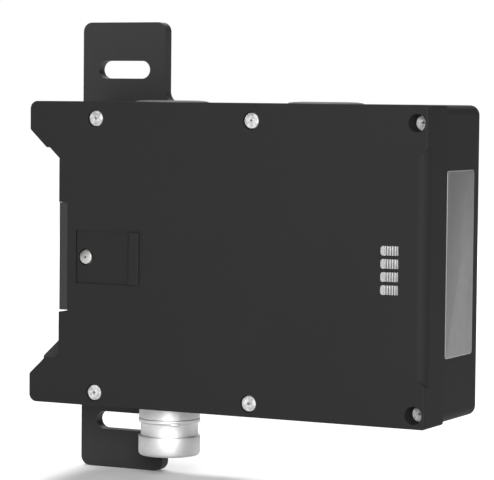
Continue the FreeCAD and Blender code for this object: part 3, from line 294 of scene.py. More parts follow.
def carry(obj, place=(0, 0, 0), turn=(0, 0, 0)):
    """Turns a shape in degrees and moves it in millimetres, and puts both in its mesh."""
    only(obj)
    obj.rotation_euler = [math.radians(t) for t in turn]
    obj.location = [p * MM for p in place]
    bpy.ops.object.transform_apply(location=True, rotation=True, scale=True)


def twin(obj):
    """A copy of a shape with its own mesh."""
    copy = obj.copy()
    copy.data = obj.data.copy()
    bpy.context.collection.objects.link(copy)
    return copy


def joined(parts, name):
    """Joins shapes into one piece."""
    nothing_selected()
    for part in parts:
        part.select_set(True)
    bpy.context.view_layer.objects.active = parts[0]
    bpy.ops.object.join()
    parts[0].name = name
    return parts[0]


def copies(obj, places, name):
    """One joined piece from copies of a shape at several places in millimetres."""
    made = [twin(obj) for _ in places]
    for copy, place in zip(made, places):
        carry(copy, place)
    bpy.data.objects.remove(obj)
    return joined(made, name)


def box_mm(node):
    """A CAD node's lowest and highest corners in millimetres."""
    low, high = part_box(node)
    return [v / MM for v in low], [v / MM for v in high]


def check_place(obj, nodes):
    """Stops the script if a finished piece is empty or lies outside the place of its CAD nodes."""
    if not obj.data.polygons:
        raise RuntimeError("the piece for " + nodes[0] + " has no faces")
    points = [vertex.co for vertex in obj.data.vertices]
    for axis in range(3):
        low = min(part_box(node)[0][axis] for node in nodes) - PLACE_MARGIN * MM
        high = max(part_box(node)[1][axis] for node in nodes) + PLACE_MARGIN * MM
        if min(p[axis] for p in points) < low or max(p[axis] for p in points) > high:
            raise RuntimeError("the piece for " + nodes[0] + " lies outside its place")


def hand_over(obj, material, slot, body, *nodes):
    """Gives a finished piece its material, its body and the CAD nodes it stands for."""
    check_place(obj, nodes)
    obj.data.materials.clear()
    obj.data.materials.append(bpy.data.materials[material])
    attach(obj, body)
    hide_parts(*nodes)
    nothing_selected()


# Sizes and colours that a user would change

def size(label, help_text, mm):
    """A length property that is shown in scene units."""
    return bpy.props.FloatProperty(name=label, description=help_text, default=mm * MM, unit="LENGTH",
                                   precision=5)


def colour(label, help_text, code):
    """A colour property given as an sRGB hex value."""
    return bpy.props.FloatVectorProperty(name=label, description=help_text, default=linear(code), size=4,
                                         subtype="COLOR", min=0, max=1)


class ModuleColours(bpy.types.PropertyGroup):
    """Colours of the parts that are seen"""
    # painted shade: cover and base are one moulding compound, and the cover is given a shade darker than the
    # base for its side that looks darker
    cover: colour("Cover", "Moulded front shell", "#1c1c1c")
    base: colour("Base", "Moulded rear shell", "#1e1e1e")
    plate: colour("Plate", "Powder coat on the mounting plate", "#272727")
    liner: colour("Liner", "Bolt guide and mouth frame", "#222222")
    label: colour("Label", "Type label", "#545454")
    # painted highlight: the paler line round the label stands in for light caught by its edge
    label_edge_highlight: colour("Label rim", "Thin paler line round the label", "#727272")
    plug: colour("Plugs", "Blanking plugs", "#565656")
    nickel: colour("Nickel", "Connector shell", "#c8c8c8")
    zinc: colour("Zinc", "Plated screws", "#a4a4a4")
    lens: colour("Windows", "Status windows", "#848484")


class ModuleSizes(bpy.types.PropertyGroup):
    """Sizes of the pieces that are modelled here"""
    screw_head: size("Screw head", "Radius of a cover screw's head", 3.15)
    rib: size("Rib pitch", "Pitch of the ribs on a status window", 1.05)
    spring_wire: size("Spring wire", "Diameter of the follower spring's wire", 0.9)
    window: size("Window height", "Height of a status window's face", 3.75)


# Materials

def glass_filled_pbt(name, colour_value):
    """Glass-fibre filled PBT, injection moulded in a spark-eroded tool."""
    # A dull even black with a fine grain, slightly cloudy where the melt flowed.
    tree, place = new_material(name)
    # real grain 0.25 mm, drawn at 0.6 mm so that it shows
    grain = add(tree, "ShaderNodeTexNoise", {"Scale": per(0.6), "Detail": 3.0, "Roughness": 0.6},
                Vector=place)
    flow = add(tree, "ShaderNodeTexNoise", {"Scale": per(38), "Detail": 2.0, "Roughness": 0.5}, Vector=place)
    tone = add(tree, "ShaderNodeMapRange", {"To Min": 0.94, "To Max": 1.05}, Value=flow.outputs["Fac"])
    shade = add(tree, "ShaderNodeMix", {"data_type": "RGBA", "blend_type": "MULTIPLY"})
    shade.inputs[MIX_FACTOR].default_value = 1.0
    shade.inputs[MIX_A].default_value = colour_value
    tree.links.new(tone.outputs["Result"], shade.inputs[MIX_B])
    gloss = add(tree, "ShaderNodeMapRange", {"To Min": 0.6, "To Max": 0.74}, Value=grain.outputs["Fac"])
    bump = add(tree, "ShaderNodeBump", {"Strength": 0.12, "Distance": 0.03 * MM}, Height=grain.outputs["Fac"])
    shader = add(tree, "ShaderNodeBsdfPrincipled", {"IOR": 1.57, "Specular IOR Level": 0.06},
                 Base_Color=shade.outputs[MIX_RESULT], Roughness=gloss.outputs["Result"],
                 Normal=bump.outputs["Normal"])
    finish_material(tree, shader)


def powder_coat(name, colour_value):
    """Polyester powder coat on sheet steel, stoved."""
    # An even dark grey with a faint orange peel of about a millimetre.
    tree, place = new_material(name)
    peel = add(tree, "ShaderNodeTexNoise", {"Scale": per(1.1), "Detail": 1.0, "Roughness": 0.4}, Vector=place)
    cloud = add(tree, "ShaderNodeTexNoise", {"Scale": per(25), "Detail": 2.0}, Vector=place)
    gloss = add(tree, "ShaderNodeMapRange", {"To Min": 0.42, "To Max": 0.52}, Value=cloud.outputs["Fac"])
    bump = add(tree, "ShaderNodeBump", {"Strength": 0.18, "Distance": 0.05 * MM}, Height=peel.outputs["Fac"])
    shader = add(tree, "ShaderNodeBsdfPrincipled",
                 {"Base Color": colour_value, "IOR": 1.5, "Specular IOR Level": 0.12},
                 Roughness=gloss.outputs["Result"], Normal=bump.outputs["Normal"])
    finish_material(tree, shader)


def passivated_zinc(name, colour_value):
    """Zinc plating on steel, electroplated dull and passivated."""
    # Pale and nearly matt under its passivation film, cloudy in patches of about a millimetre.
    tree, place = new_material(name)
    cloud = add(tree, "ShaderNodeTexNoise", {"Scale": per(1.1), "Detail": 3.0, "Roughness": 0.6},
                Vector=place)
    tone = add(tree, "ShaderNodeMapRange", {"From Min": 0.35, "From Max": 0.65, "To Min": 0.5, "To Max": 1.2},
               Value=cloud.outputs["Fac"])
    shade = add(tree, "ShaderNodeMix", {"data_type": "RGBA", "blend_type": "MULTIPLY"})
    shade.inputs[MIX_FACTOR].default_value = 1.0
    shade.inputs[MIX_A].default_value = colour_value
    tree.links.new(tone.outputs["Result"], shade.inputs[MIX_B])
    gloss = add(tree, "ShaderNodeMapRange", {"To Min": 0.42, "To Max": 0.6}, Value=cloud.outputs["Fac"])
    bump = add(tree, "ShaderNodeBump", {"Strength": 0.3, "Distance": 0.06 * MM}, Height=cloud.outputs["Fac"])
    shader = add(tree, "ShaderNodeBsdfPrincipled", {"Metallic": 0.2},
                 Base_Color=shade.outputs[MIX_RESULT], Roughness=gloss.outputs["Result"],
                 Normal=bump.outputs["Normal"])
    finish_material(tree, shader)


def worked_metal(name, colour_value, roughness, mark_mm, stretch):
    """Bare or plated metal with the fine marks of its making, stretched along the tool's way."""
    # Bright, with a soft highlight that breaks up along the marks.
    tree, place = new_material(name)
    mapping = add(tree, "ShaderNodeMapping", {"Scale": stretch}, Vector=place)
    marks = add(tree, "ShaderNodeTexNoise", {"Scale": per(mark_mm), "Detail": 4.0, "Roughness": 0.55},
                Vector=mapping.outputs["Vector"])
    gloss = add(tree, "ShaderNodeMapRange", {"To Min": roughness * 0.75, "To Max": roughness * 1.3},
                Value=marks.outputs["Fac"])
    bump = add(tree, "ShaderNodeBump", {"Strength": 0.08, "Distance": 0.02 * MM}, Height=marks.outputs["Fac"])
    shader = add(tree, "ShaderNodeBsdfPrincipled", {"Base Color": colour_value, "Metallic": 1.0},
                 Roughness=gloss.outputs["Result"], Normal=bump.outputs["Normal"])
    finish_material(tree, shader)


def moulded_polymer(name, colour_value, roughness, grain_mm):
    """Unfilled polyamide, polycarbonate blend or epoxy, moulded in a polished tool."""
    # Even colour with a waxy sheen and hardly any grain.
    tree, place = new_material(name)
    grain = add(tree, "ShaderNodeTexNoise", {"Scale": per(grain_mm), "Detail": 2.0}, Vector=place)
    gloss = add(tree, "ShaderNodeMapRange", {"To Min": roughness - 0.05, "To Max": roughness + 0.06},
                Value=grain.outputs["Fac"])
    bump = add(tree, "ShaderNodeBump", {"Strength": 0.06, "Distance": 0.02 * MM}, Height=grain.outputs["Fac"])
    shader = add(tree, "ShaderNodeBsdfPrincipled",
                 {"Base Color": colour_value, "IOR": 1.53, "Specular IOR Level": 0.2},
                 Roughness=gloss.outputs["Result"], Normal=bump.outputs["Normal"])
    finish_material(tree, shader)


def polyester_film(name, colour_value, edge_highlight_value, low, high):
    """Polyester label film, satin, with a paler band 0.4 mm wide round its edge as painted highlight."""
    # Smooth with a slight unevenness from the adhesive below; the thin lighter line round its edge is painted
    # highlight for light caught by the edge.
    tree, place = new_material(name)
    lie = add(tree, "ShaderNodeTexNoise", {"Scale": per(6), "Detail": 1.0}, Vector=place)
    bump = add(tree, "ShaderNodeBump", {"Strength": 0.05, "Distance": 0.05 * MM}, Height=lie.outputs["Fac"])
    gloss = add(tree, "ShaderNodeMapRange", {"To Min": 0.36, "To Max": 0.46}, Value=lie.outputs["Fac"])
    middle = [(a + b) / 2 for a, b in zip(low, high)]
    centred = add(tree, "ShaderNodeMapping", {"Location": [-m for m in middle]}, Vector=place)
    axes = add(tree, "ShaderNodeSeparateXYZ", None, Vector=centred.outputs["Vector"])
    near = []
    for axis, a, b in (("Y", low[1], high[1]), ("Z", low[2], high[2])):
        away = add(tree, "ShaderNodeMath", {"operation": "ABSOLUTE"})
        tree.links.new(axes.outputs[axis], away.inputs[0])
        rim = add(tree, "ShaderNodeMath", {"operation": "GREATER_THAN"})
        tree.links.new(away.outputs[0], rim.inputs[0])
        rim.inputs[1].default_value = (b - a) / 2 - 0.4 * MM
        near.append(rim)
    either = add(tree, "ShaderNodeMath", {"operation": "MAXIMUM"})
    for socket, rim in zip(either.inputs, near):
        tree.links.new(rim.outputs[0], socket)
    # painted highlight: the band 0.4 mm inside the edge takes the paler colour
    tone = add(tree, "ShaderNodeMix", {"data_type": "RGBA"})
    tree.links.new(either.outputs[0], tone.inputs[MIX_FACTOR])
    tone.inputs[MIX_A].default_value = colour_value
    tone.inputs[MIX_B].default_value = edge_highlight_value
    shader = add(tree, "ShaderNodeBsdfPrincipled", {"IOR": 1.58, "Specular IOR Level": 0.3},
                 Base_Color=tone.outputs[MIX_RESULT], Roughness=gloss.outputs["Result"],
                 Normal=bump.outputs["Normal"])
    finish_material(tree, shader)


def frosted_polycarbonate(name, colour_value):
    """Frosted polycarbonate light pipe, moulded with a ribbed face."""
    # Milky: a little light passes into it, and its ribs catch soft glints.
    tree, place = new_material(name)
    frost = add(tree, "ShaderNodeTexNoise", {"Scale": per(0.4), "Detail": 2.0}, Vector=place)
    gloss = add(tree, "ShaderNodeMapRange", {"To Min": 0.22, "To Max": 0.36}, Value=frost.outputs["Fac"])
    shader = add(tree, "ShaderNodeBsdfPrincipled",
                 {"Base Color": colour_value, "IOR": 1.58, "Subsurface Weight": 0.15,
                  "Subsurface Radius": (1, 1, 1), "Subsurface Scale": 0.5 * MM},
                 Roughness=gloss.outputs["Result"])
    finish_material(tree, shader)


def nitrile_rubber(name):
    """Nitrile rubber seal, moulded, matt."""
    # Deep black with a dusty bloom.
    tree, place = new_material(name)
    bloom = add(tree, "ShaderNodeTexNoise", {"Scale": per(3), "Detail": 3.0}, Vector=place)
    gloss = add(tree, "ShaderNodeMapRange", {"To Min": 0.7, "To Max": 0.85}, Value=bloom.outputs["Fac"])
    shader = add(tree, "ShaderNodeBsdfPrincipled", {"Base Color": linear("#161616"), "IOR": 1.52},
                 Roughness=gloss.outputs["Result"])
    finish_material(tree, shader)


def copper_winding(name):
    """Enamelled copper wire wound in layers about X."""
    # Varnished reddish brown, in soft bands where the layers lie.
    tree, place = new_material(name)
    # the wave runs through 20 radians to a unit, so a unit of 10 mm gives bands 3.1 mm apart
    turns = add(tree, "ShaderNodeTexWave", {"wave_type": "BANDS", "bands_direction": "X", "Scale": per(10),
                                            "Distortion": 0.3, "Detail": 1.0}, Vector=place)
    ramp = add(tree, "ShaderNodeValToRGB", None, Fac=turns.outputs["Fac"])
    ramp.color_ramp.elements[0].color = linear("#5e2c17")
    ramp.color_ramp.elements[1].color = linear("#a85a34")
    bump = add(tree, "ShaderNodeBump", {"Strength": 0.6, "Distance": 0.1 * MM}, Height=turns.outputs["Fac"])
    shader = add(tree, "ShaderNodeBsdfPrincipled",
                 {"Metallic": 0.6, "Roughness": 0.32, "Coat Weight": 0.4},
                 Base_Color=ramp.outputs["Color"], Normal=bump.outputs["Normal"])
    finish_material(tree, shader)


def solder_mask(name):
    """Glass-fibre board under green solder mask."""
    # Glossy green, tracks show as slightly lighter raised lines, 3 mm apart one way and 6 mm the other.
    tree, place = new_material(name)
    tracks = add(tree, "ShaderNodeTexBrick", {"Scale": per(12), "Mortar Size": 0.03, "offset": 0.35,
                                              "Color1": linear("#0f4a28"), "Color2": linear("#11502b"),
                                              "Mortar": linear("#2c7a49")})
    turn = add(tree, "ShaderNodeMapping", {"Rotation": (math.radians(90), 0, 0)}, Vector=place)
    tree.links.new(turn.outputs["Vector"], tracks.inputs["Vector"])
    bump = add(tree, "ShaderNodeBump", {"Strength": 0.3, "Distance": 0.05 * MM}, Height=tracks.outputs["Fac"])
    shader = add(tree, "ShaderNodeBsdfPrincipled", {"Roughness": 0.25, "IOR": 1.5},
                 Base_Color=tracks.outputs["Color"], Normal=bump.outputs["Normal"])
    finish_material(tree, shader)


# Worked metals: colour, which is a hex value or the name of a colour property, roughness, distance between
# marks in millimetres, and stretch along the marks
METALS = {
    # brass turned and satin nickel plated: fine rings round the shell spread the highlight
    "turned_nickel": ("nickel", 0.54, 0.6, (0.15, 0.15, 1)),
    # steel turned on an automatic lathe, a little darker than the plated screws as painted shade for the
    # release head
    "shaded_turned_steel": ("#a2a2a0", 0.4, 0.9, (1, 1, 1)),
    # spring steel blanked and ground: long streaks along X
    "ground_steel": ("#a9abad", 0.34, 0.7, (0.1, 1, 1)),
    # patented wire, cold drawn: an even dull shine
    "spring_wire": ("#9b9da0", 0.3, 0.4, (1, 1, 1)),
    # brass pins turned and flashed with gold: warm and bright
    "gold_flash": ("#d9b060", 0.22, 0.4, (1, 1, 1)),
    # aluminium cans deep drawn: streaks along the can
    "drawn_aluminium": ("#c9cbcd", 0.3, 0.5, (1, 0.1, 1)),
}

# Moulded polymers: colour in the same way, roughness, and distance between grains in millimetres
POLYMERS = {
    # dark grey polyamide, worn smooth by the bolt
    "liner_polyamide": ("liner", 0.5, 0.8),
    # black polyamide of the follower, read head and connector insert
    "black_polyamide": ("#1d1d1f", 0.5, 0.8),
    # grey polyamide of the blanking plugs, matt
    "plug_polyamide": ("plug", 0.62, 0.8),
    # green polyamide, slightly glossy
    "terminal_polyamide": ("#2f7d46", 0.4, 0.8),
    # white relay cases, glossy
    "relay_case": ("#dcdcd8", 0.3, 0.8),
    # black moulding epoxy, fine and matt
    "chip_epoxy": ("#141416", 0.55, 0.4),
    # clear casting epoxy, cream in its cup, glossy
    "diode_lens": ("#e8e4cf", 0.2, 0.8),
}

# Which CAD nodes have which material; the windows and the label are replaced by pieces with their own
FINISHES = {
    "cover_pbt": ("housing_cover",),
    "base_pbt": ("housing_base",),
    "plate_powder_coat": ("mounting_plate",),
    "dull_zinc": ("plate_screws", "frame_screws", "guide_screws", "yoke_screws", "display_screws",
                  "board_screws", "solenoid_yoke", "cover_screws", "release_spindle"),
    "turned_nickel": ("connector_nut", "connector_shell"),
    "ground_steel": ("lock_lever", "solenoid_plunger", "release_finger"),
    "spring_wire": ("lever_pin", "lever_clip", "link_pin", "plunger_spring", "follower_spring"),
    "gold_flash": ("connector_contacts",),
    "drawn_aluminium": ("capacitors",),
    "liner_polyamide": ("mouth_frame", "bolt_guide"),
    "black_polyamide": ("read_head", "bolt_follower", "connector_insert"),
    "plug_polyamide": ("blanking_plugs",),
    "terminal_polyamide": ("terminal_block",),
    "relay_case": ("safety_relays",),
    "chip_epoxy": ("processor_chips",),
    "diode_lens": ("status_leds",),
    "seal_rubber": ("cover_gasket", "plug_seals", "connector_seal", "release_seal"),
    "copper_winding": ("solenoid_coil",),
    "board_solder_mask": ("main_board", "display_board"),
}


# Operators, one for each piece or group of like pieces

class PieceOperator:
    """What the operators share: undo, and the user's colours and sizes."""
    bl_options = {"REGISTER", "UNDO"}

    @property
    def colours(self):
        return bpy.context.scene.module_colours

    @property
    def sizes(self):
        return bpy.context.scene.module_sizes


class MODULE_OT_materials(PieceOperator, bpy.types.Operator):
    """Materials for the CAD pieces, each named for what the real piece is made of"""
    bl_idname = "module.materials"
    bl_label = "Materials"

    def tone(self, code):
        """A hex colour, or the colour property of that name."""
        return linear(code) if code.startswith("#") else getattr(self.colours, code)

    def execute(self, context):
        own = self.colours
        # painted shade: the cover's copy of the compound is a shade darker than the base's
        glass_filled_pbt("cover_pbt", own.cover)
        glass_filled_pbt("base_pbt", own.base)
        powder_coat("plate_powder_coat", own.plate)
        passivated_zinc("dull_zinc", own.zinc)
        for name, (code, *surface) in METALS.items():
            worked_metal(name, self.tone(code), *surface)
        for name, (code, *surface) in POLYMERS.items():
            moulded_polymer(name, self.tone(code), *surface)
        frosted_polycarbonate("frosted_windows", own.lens)
        polyester_film("label_film", own.label, own.label_edge_highlight, *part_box("type_label"))
        nitrile_rubber("seal_rubber")
        copper_winding("copper_winding")
        solder_mask("board_solder_mask")
        for name, nodes in FINISHES.items():
            for node in nodes:
                mesh = NODES[node].data
                mesh.materials.clear()
                mesh.materials.append(bpy.data.materials[name])
        return {"FINISHED"}


def cover_screw_places():
    """Places of the six cover screws' seats; the right-hand pair sits deeper."""
    low, high = box_mm("cover_screws")
    left, right = low[0] + CAD_HEAD_R, high[0] - CAD_HEAD_R
    shallow, deep = low[1] + CAD_HEAD_H, high[1] - CAD_SCREW_L
    columns = ((left, shallow), ((left + right) / 2, shallow), (right, deep))
    return [(x, y, z) for x, y in columns for z in (low[2] + CAD_HEAD_R, high[2] - CAD_HEAD_R)]


def cross_cutter(reach, width, depth, pit_r):
    """A tapering cross with its mouth at z = 0 and its point below, and a deeper pit in its middle."""
    bars = []
    for turn in (0, 90):
        bar = block("cutter", (-reach, -width / 2, -depth), (reach, width / 2, 1.0))
        bpy.ops.object.mode_set(mode="EDIT")
        pick(bar, lambda c, n: n.z < -0.9)
        bpy.ops.transform.resize(value=(0.35, 0.8, 1))
        bpy.ops.object.mode_set(mode="OBJECT")
        carry(bar, turn=(0, 0, turn))
        bars.append(bar)
    floor = -depth - 2.2
    bars.append(turned("pit", [(0, 1.0), (pit_r, 1.0), (pit_r, floor), (0, floor - pit_r)], steps=24))
    for other in bars[1:]:
        use_modifier(bars[0], "BOOLEAN", operation="UNION", object=other, solver="EXACT")
        bpy.data.objects.remove(other)
    return bars[0]


def pan_screw(name, head_r):
    """Pan head screw about Z with its seat at z = 0 and its head above."""
    # crown, shoulder, side and underside of the head
    outline = [(r, SCREW_HEAD_H + z) for r, z in dome(head_r * 0.86, 0.26)]
    outline += [(head_r * 0.95, SCREW_HEAD_H - 0.42), (head_r, SCREW_HEAD_H - 0.75), (head_r, 0.12),
                (head_r - 0.12, 0), (SCREW_SHANK_R, 0)]
    # thread, which starts 1 mm below the head, and the point
    z = -1.0
    while z > 1.2 - SCREW_SHANK_L:
        outline += [(SCREW_SHANK_R, z), (SCREW_SHANK_R * 0.82, z - THREAD_PITCH / 2),
                    (SCREW_SHANK_R, z - THREAD_PITCH)]
        z -= THREAD_PITCH
    outline += [(SCREW_SHANK_R * 0.7, -SCREW_SHANK_L), (0, -SCREW_SHANK_L)]
    screw = turned(name, outline, steps=48)
    cutter = cross_cutter(RECESS_R, RECESS_R * 0.36, 0.85, RECESS_R * 0.38)
    carry(cutter, (0, 0, SCREW_HEAD_H))
    cut_away(screw, cutter)
    smooth(screw, 35)
    return screw


class MODULE_OT_cover_screws(PieceOperator, bpy.types.Operator):
    """Six pan head screws that hold the cover, with cross recesses"""
    bl_idname = "module.cover_screws"
    bl_label = "Cover screws"

    def execute(self, context):
        screw = pan_screw("screw", self.sizes.screw_head / MM)
        carry(screw, turn=(90, 0, 0))
        piece = copies(screw, cover_screw_places(), "case_screws")
        hand_over(piece, "dull_zinc", "zinc_steel", "housing", "cover_screws")
        return {"FINISHED"}


class MODULE_OT_release_screw(PieceOperator, bpy.types.Operator):
    """Auxiliary release: the domed head with its cross recess and the shaft to the finger"""
    bl_idname = "module.release_screw"
    bl_label = "Release screw"

    def execute(self, context):
        low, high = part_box("release_spindle")
        cap_r = (high[0] - low[0]) / 2 / MM - 0.2
        shaft_r, long = 2.3, (high[1] - low[1]) / MM
        screw = turned("release_head", dome(cap_r * 0.93, 0.45) + [
            (cap_r, -0.75), (cap_r, -1.6), (cap_r - 0.1, -1.7), (shaft_r, -1.7), (shaft_r, -long),
            (0, -long)], steps=64)
        cut_away(screw, cross_cutter(1.25, 0.38, 0.5, 0.35))
        smooth(screw, 35)
        carry(screw, ((low[0] + high[0]) / 2 / MM, low[1] / MM, (low[2] + high[2]) / 2 / MM), (90, 0, 0))
        # painted shade: the head gets a metal a little darker than the screws' zinc
        hand_over(screw, "shaded_turned_steel", "zinc_steel", "release", "release_spindle")
        return {"FINISHED"}


class MODULE_OT_status_windows(PieceOperator, bpy.types.Operator):
    """Four status windows with a ribbed face, round at the left end"""
    bl_idname = "module.status_windows"
    bl_label = "Status windows"

    def rib(self, x, front, radius, half):
        """One upright rib, round in front and sunk into the window behind."""
        nothing_selected()
        bpy.ops.mesh.primitive_cylinder_add(vertices=20, radius=radius * MM, depth=2 * (half - 0.08) * MM,
                                            location=(x * MM, (front + radius) * MM, 0))
        obj = bpy.context.object
        bpy.ops.object.transform_apply(location=True, rotation=True, scale=True)
        bpy.ops.object.mode_set(mode="EDIT")
        pick(obj, lambda c, n: n.y > 0.3)
        bpy.ops.mesh.extrude_region_move(TRANSFORM_OT_translate={"value": (0, 1.0 * MM, 0)})
        bpy.ops.object.mode_set(mode="OBJECT")
        soften(obj, 0.06, 2)
        return obj

    def execute(self, context):
        low, high = box_mm("light_pipes")
        front, left, right = low[1] + 0.05, low[0] + WINDOW_FLANGE, high[0] - WINDOW_FLANGE
        half = self.sizes.window / MM / 2
        body = block("window", (left, front + 1.0, -half), (right, high[1], half))
        cap = block("cap", (left, front, -half), (left + WINDOW_CAP, front + 1.5, half))
        for part in (body, cap):
            round_edges(part, lambda c, d: c.x < (left + 0.01) * MM and abs(d.y) > 0.9, 1.1)
            soften(part, 0.12, 2)
        parts = [body, cap]
        pitch = self.sizes.rib / MM
        rib_r = pitch * 0.32
        x = left + WINDOW_CAP + rib_r
        while x + rib_r < right + 0.05:
            parts.append(self.rib(x, front, rib_r, half))
            x += pitch
        window = joined(parts, "window")
        middle = (low[2] + high[2]) / 2
        places = [(0, 0, middle + (i - (WINDOW_COUNT - 1) / 2) * WINDOW_PITCH) for i in range(WINDOW_COUNT)]
        piece = copies(window, places, "status_windows")
        hand_over(piece, "frosted_windows", "lens_grey", "housing", "light_pipes")
        return {"FINISHED"}


class MODULE_OT_label(PieceOperator, bpy.types.Operator):
    """Type label on the right side, with rounded corners"""
    bl_idname = "module.label"
    bl_label = "Type label"

    def execute(self, context):
        piece = block("bare_label", *box_mm("type_label"))
        round_edges(piece, lambda c, d: abs(d.x) > 0.9, 1.5)
        soften(piece, 0.08, 2)
        hand_over(piece, "label_film", "label_grey", "housing", "type_label")
        return {"FINISHED"}


class MODULE_OT_plugs(PieceOperator, bpy.types.Operator):
    """Blanking plugs with a flat domed head, a coin slot and a hollow shank, and their seals"""
    bl_idname = "module.plugs"
    bl_label = "Blanking plugs"

    def execute(self, context):
        plug = turned("plug", [
            (0, 0.75), (9.5, 0.75), (12.8, 0.62), (14.7, 0.36), (PLUG_HEAD_R, 0.14), (PLUG_HEAD_R, 0.0),
            (14.2, 0.0), (14.2, 0.3), (12.8, 0.3), (12.8, 0.0), (PLUG_SHANK_R, 0.0), (PLUG_SHANK_R, -7.6),
            (12.0, -8.0), (10.0, -8.0), (10.0, -1.5), (0, -1.5)], steps=128)
        cut_away(plug, block("cutter", (-8, -1.2, -0.6), (8, 1.2, 3)))
        soften(plug, 0.1, 2, 35)
        seal = turned("seal", [(12.9, 0.02), (14.1, 0.02), (14.1, 0.22), (13.9, 0.28), (13.1, 0.28),
                               (12.9, 0.22), (12.9, 0.02)], steps=96)
        self.seat(plug, "entry_plugs", "plug_polyamide", "plug_grey", "blanking_plugs")
        self.seat(seal, "entry_seals", "seal_rubber", "seal_rubber", "plug_seals")
        return {"FINISHED"}

    def seat(self, shape, name, finish, slot, node):
        """Puts a shape in the two upper entries and, upside down, in the lower right one."""
        seat = box_mm("housing_base")[1][2]
        low, high = box_mm("blanking_plugs")
        depth = (low[1] + high[1]) / 2
        left, right = low[0] + PLUG_HEAD_R, high[0] - PLUG_HEAD_R
        under = twin(shape)
        carry(under, (right, depth, -seat), (180, 0, 0))
        above = copies(shape, [(left, depth, seat), (right, depth, seat)], name)
        hand_over(joined([above, under], name), finish, slot, "housing", node)


class MODULE_OT_connector(PieceOperator, bpy.types.Operator):
    """Round connector shell: two bands, a narrow part between them and a key tooth"""
    bl_idname = "module.connector"
    bl_label = "Connector shell"

    def execute(self, context):
        low, high = box_mm("connector_shell")
        bottom, inside = low[2], high[2]
        ring = (high[0] - low[0]) / 2
        neck = ring - NECK_STEP
        top = box_mm("housing_base")[0][2]
        lip, shoulder = top - BAND_END, top - BAND_START
        shell = turned("shell", [
            # spigot in the case, with the groove for the seal
            (BORE_R, inside), (SPIGOT_R, inside), (SPIGOT_R, top), (11.3, top), (11.3, top - 1.0),
            (11.8, top - 1.0), (11.8, top), (ring - 0.2, top),
            # upper band with a bead at its foot, then the narrow part
            (ring - 0.2, lip + 1.9), (ring, lip + 1.6), (ring, lip + 0.5), (ring - 0.25, lip + 0.1),
            (neck, lip - 0.1), (neck, shoulder),
            # lower band, round at the bottom, and the bore
            (ring - 0.12, shoulder), (ring, shoulder - 0.4), (ring, bottom + 1.2),
            (ring - 0.35, bottom + 0.35), (ring - 0.8, bottom), (10.9, bottom), (BORE_R, bottom + 0.5),
            (BORE_R, inside)], steps=160)
        soften(shell, 0.06, 2, 25)
        tooth = block("tooth", (-1.9, -ring - 0.15, lip - 0.5), (1.9, 1.0 - ring, lip + 0.9))
        soften(tooth, 0.35, 3)
        carry(tooth, turn=(0, 0, 38))
        piece = joined([shell, tooth], "connector_body")
        carry(piece, ((low[0] + high[0]) / 2, high[1] - ring, 0))
        hand_over(piece, "turned_nickel", "shell_nickel", "housing", "connector_shell")
        return {"FINISHED"}


class MODULE_OT_follower_spring(PieceOperator, bpy.types.Operator):
    """Compression spring behind the bolt follower"""
    bl_idname = "module.follower_spring"
    bl_label = "Follower spring"

    def execute(self, context):
        low, high = box_mm("follower_spring")
        middle = [(a + b) / 2 for a, b in zip(low, high)]
        wire_r, travel = self.sizes.spring_wire / MM / 2, FOLLOWER_TRAVEL
        ring_r = (high[1] - low[1]) / 2 - wire_r
        long = high[0] - low[0]
        nothing_selected()
        bpy.ops.mesh.primitive_circle_add(vertices=10, radius=wire_r * MM, location=(ring_r * MM, 0, 0),
                                          rotation=(math.radians(90), 0, 0))
        wire = bpy.context.object
        wire.name = "spring_coil"
        bpy.ops.object.transform_apply(location=True, rotation=True, scale=True)
        use_modifier(wire, "SCREW", angle=2 * math.pi, screw_offset=(long - 2 * wire_r) / SPRING_TURNS * MM,
                     iterations=SPRING_TURNS, steps=28, axis="Z", use_smooth_shade=True)
        bpy.ops.object.mode_set(mode="EDIT")
        bpy.ops.mesh.select_mode(type="VERT")
        bpy.ops.mesh.select_all(action="SELECT")
        bpy.ops.mesh.fill_holes(sides=0)
        bpy.ops.mesh.select_all(action="SELECT")
        bpy.ops.mesh.normals_make_consistent(inside=False)
        bpy.ops.object.mode_set(mode="OBJECT")
        soften(wire, 0.04, 1, 60)
        carry(wire, (low[0] + wire_r, middle[1], middle[2]), (0, 90, 0))
        hand_over(wire, "spring_wire", "spring_steel", "housing", "follower_spring")
        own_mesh(wire)
        return {"FINISHED"}


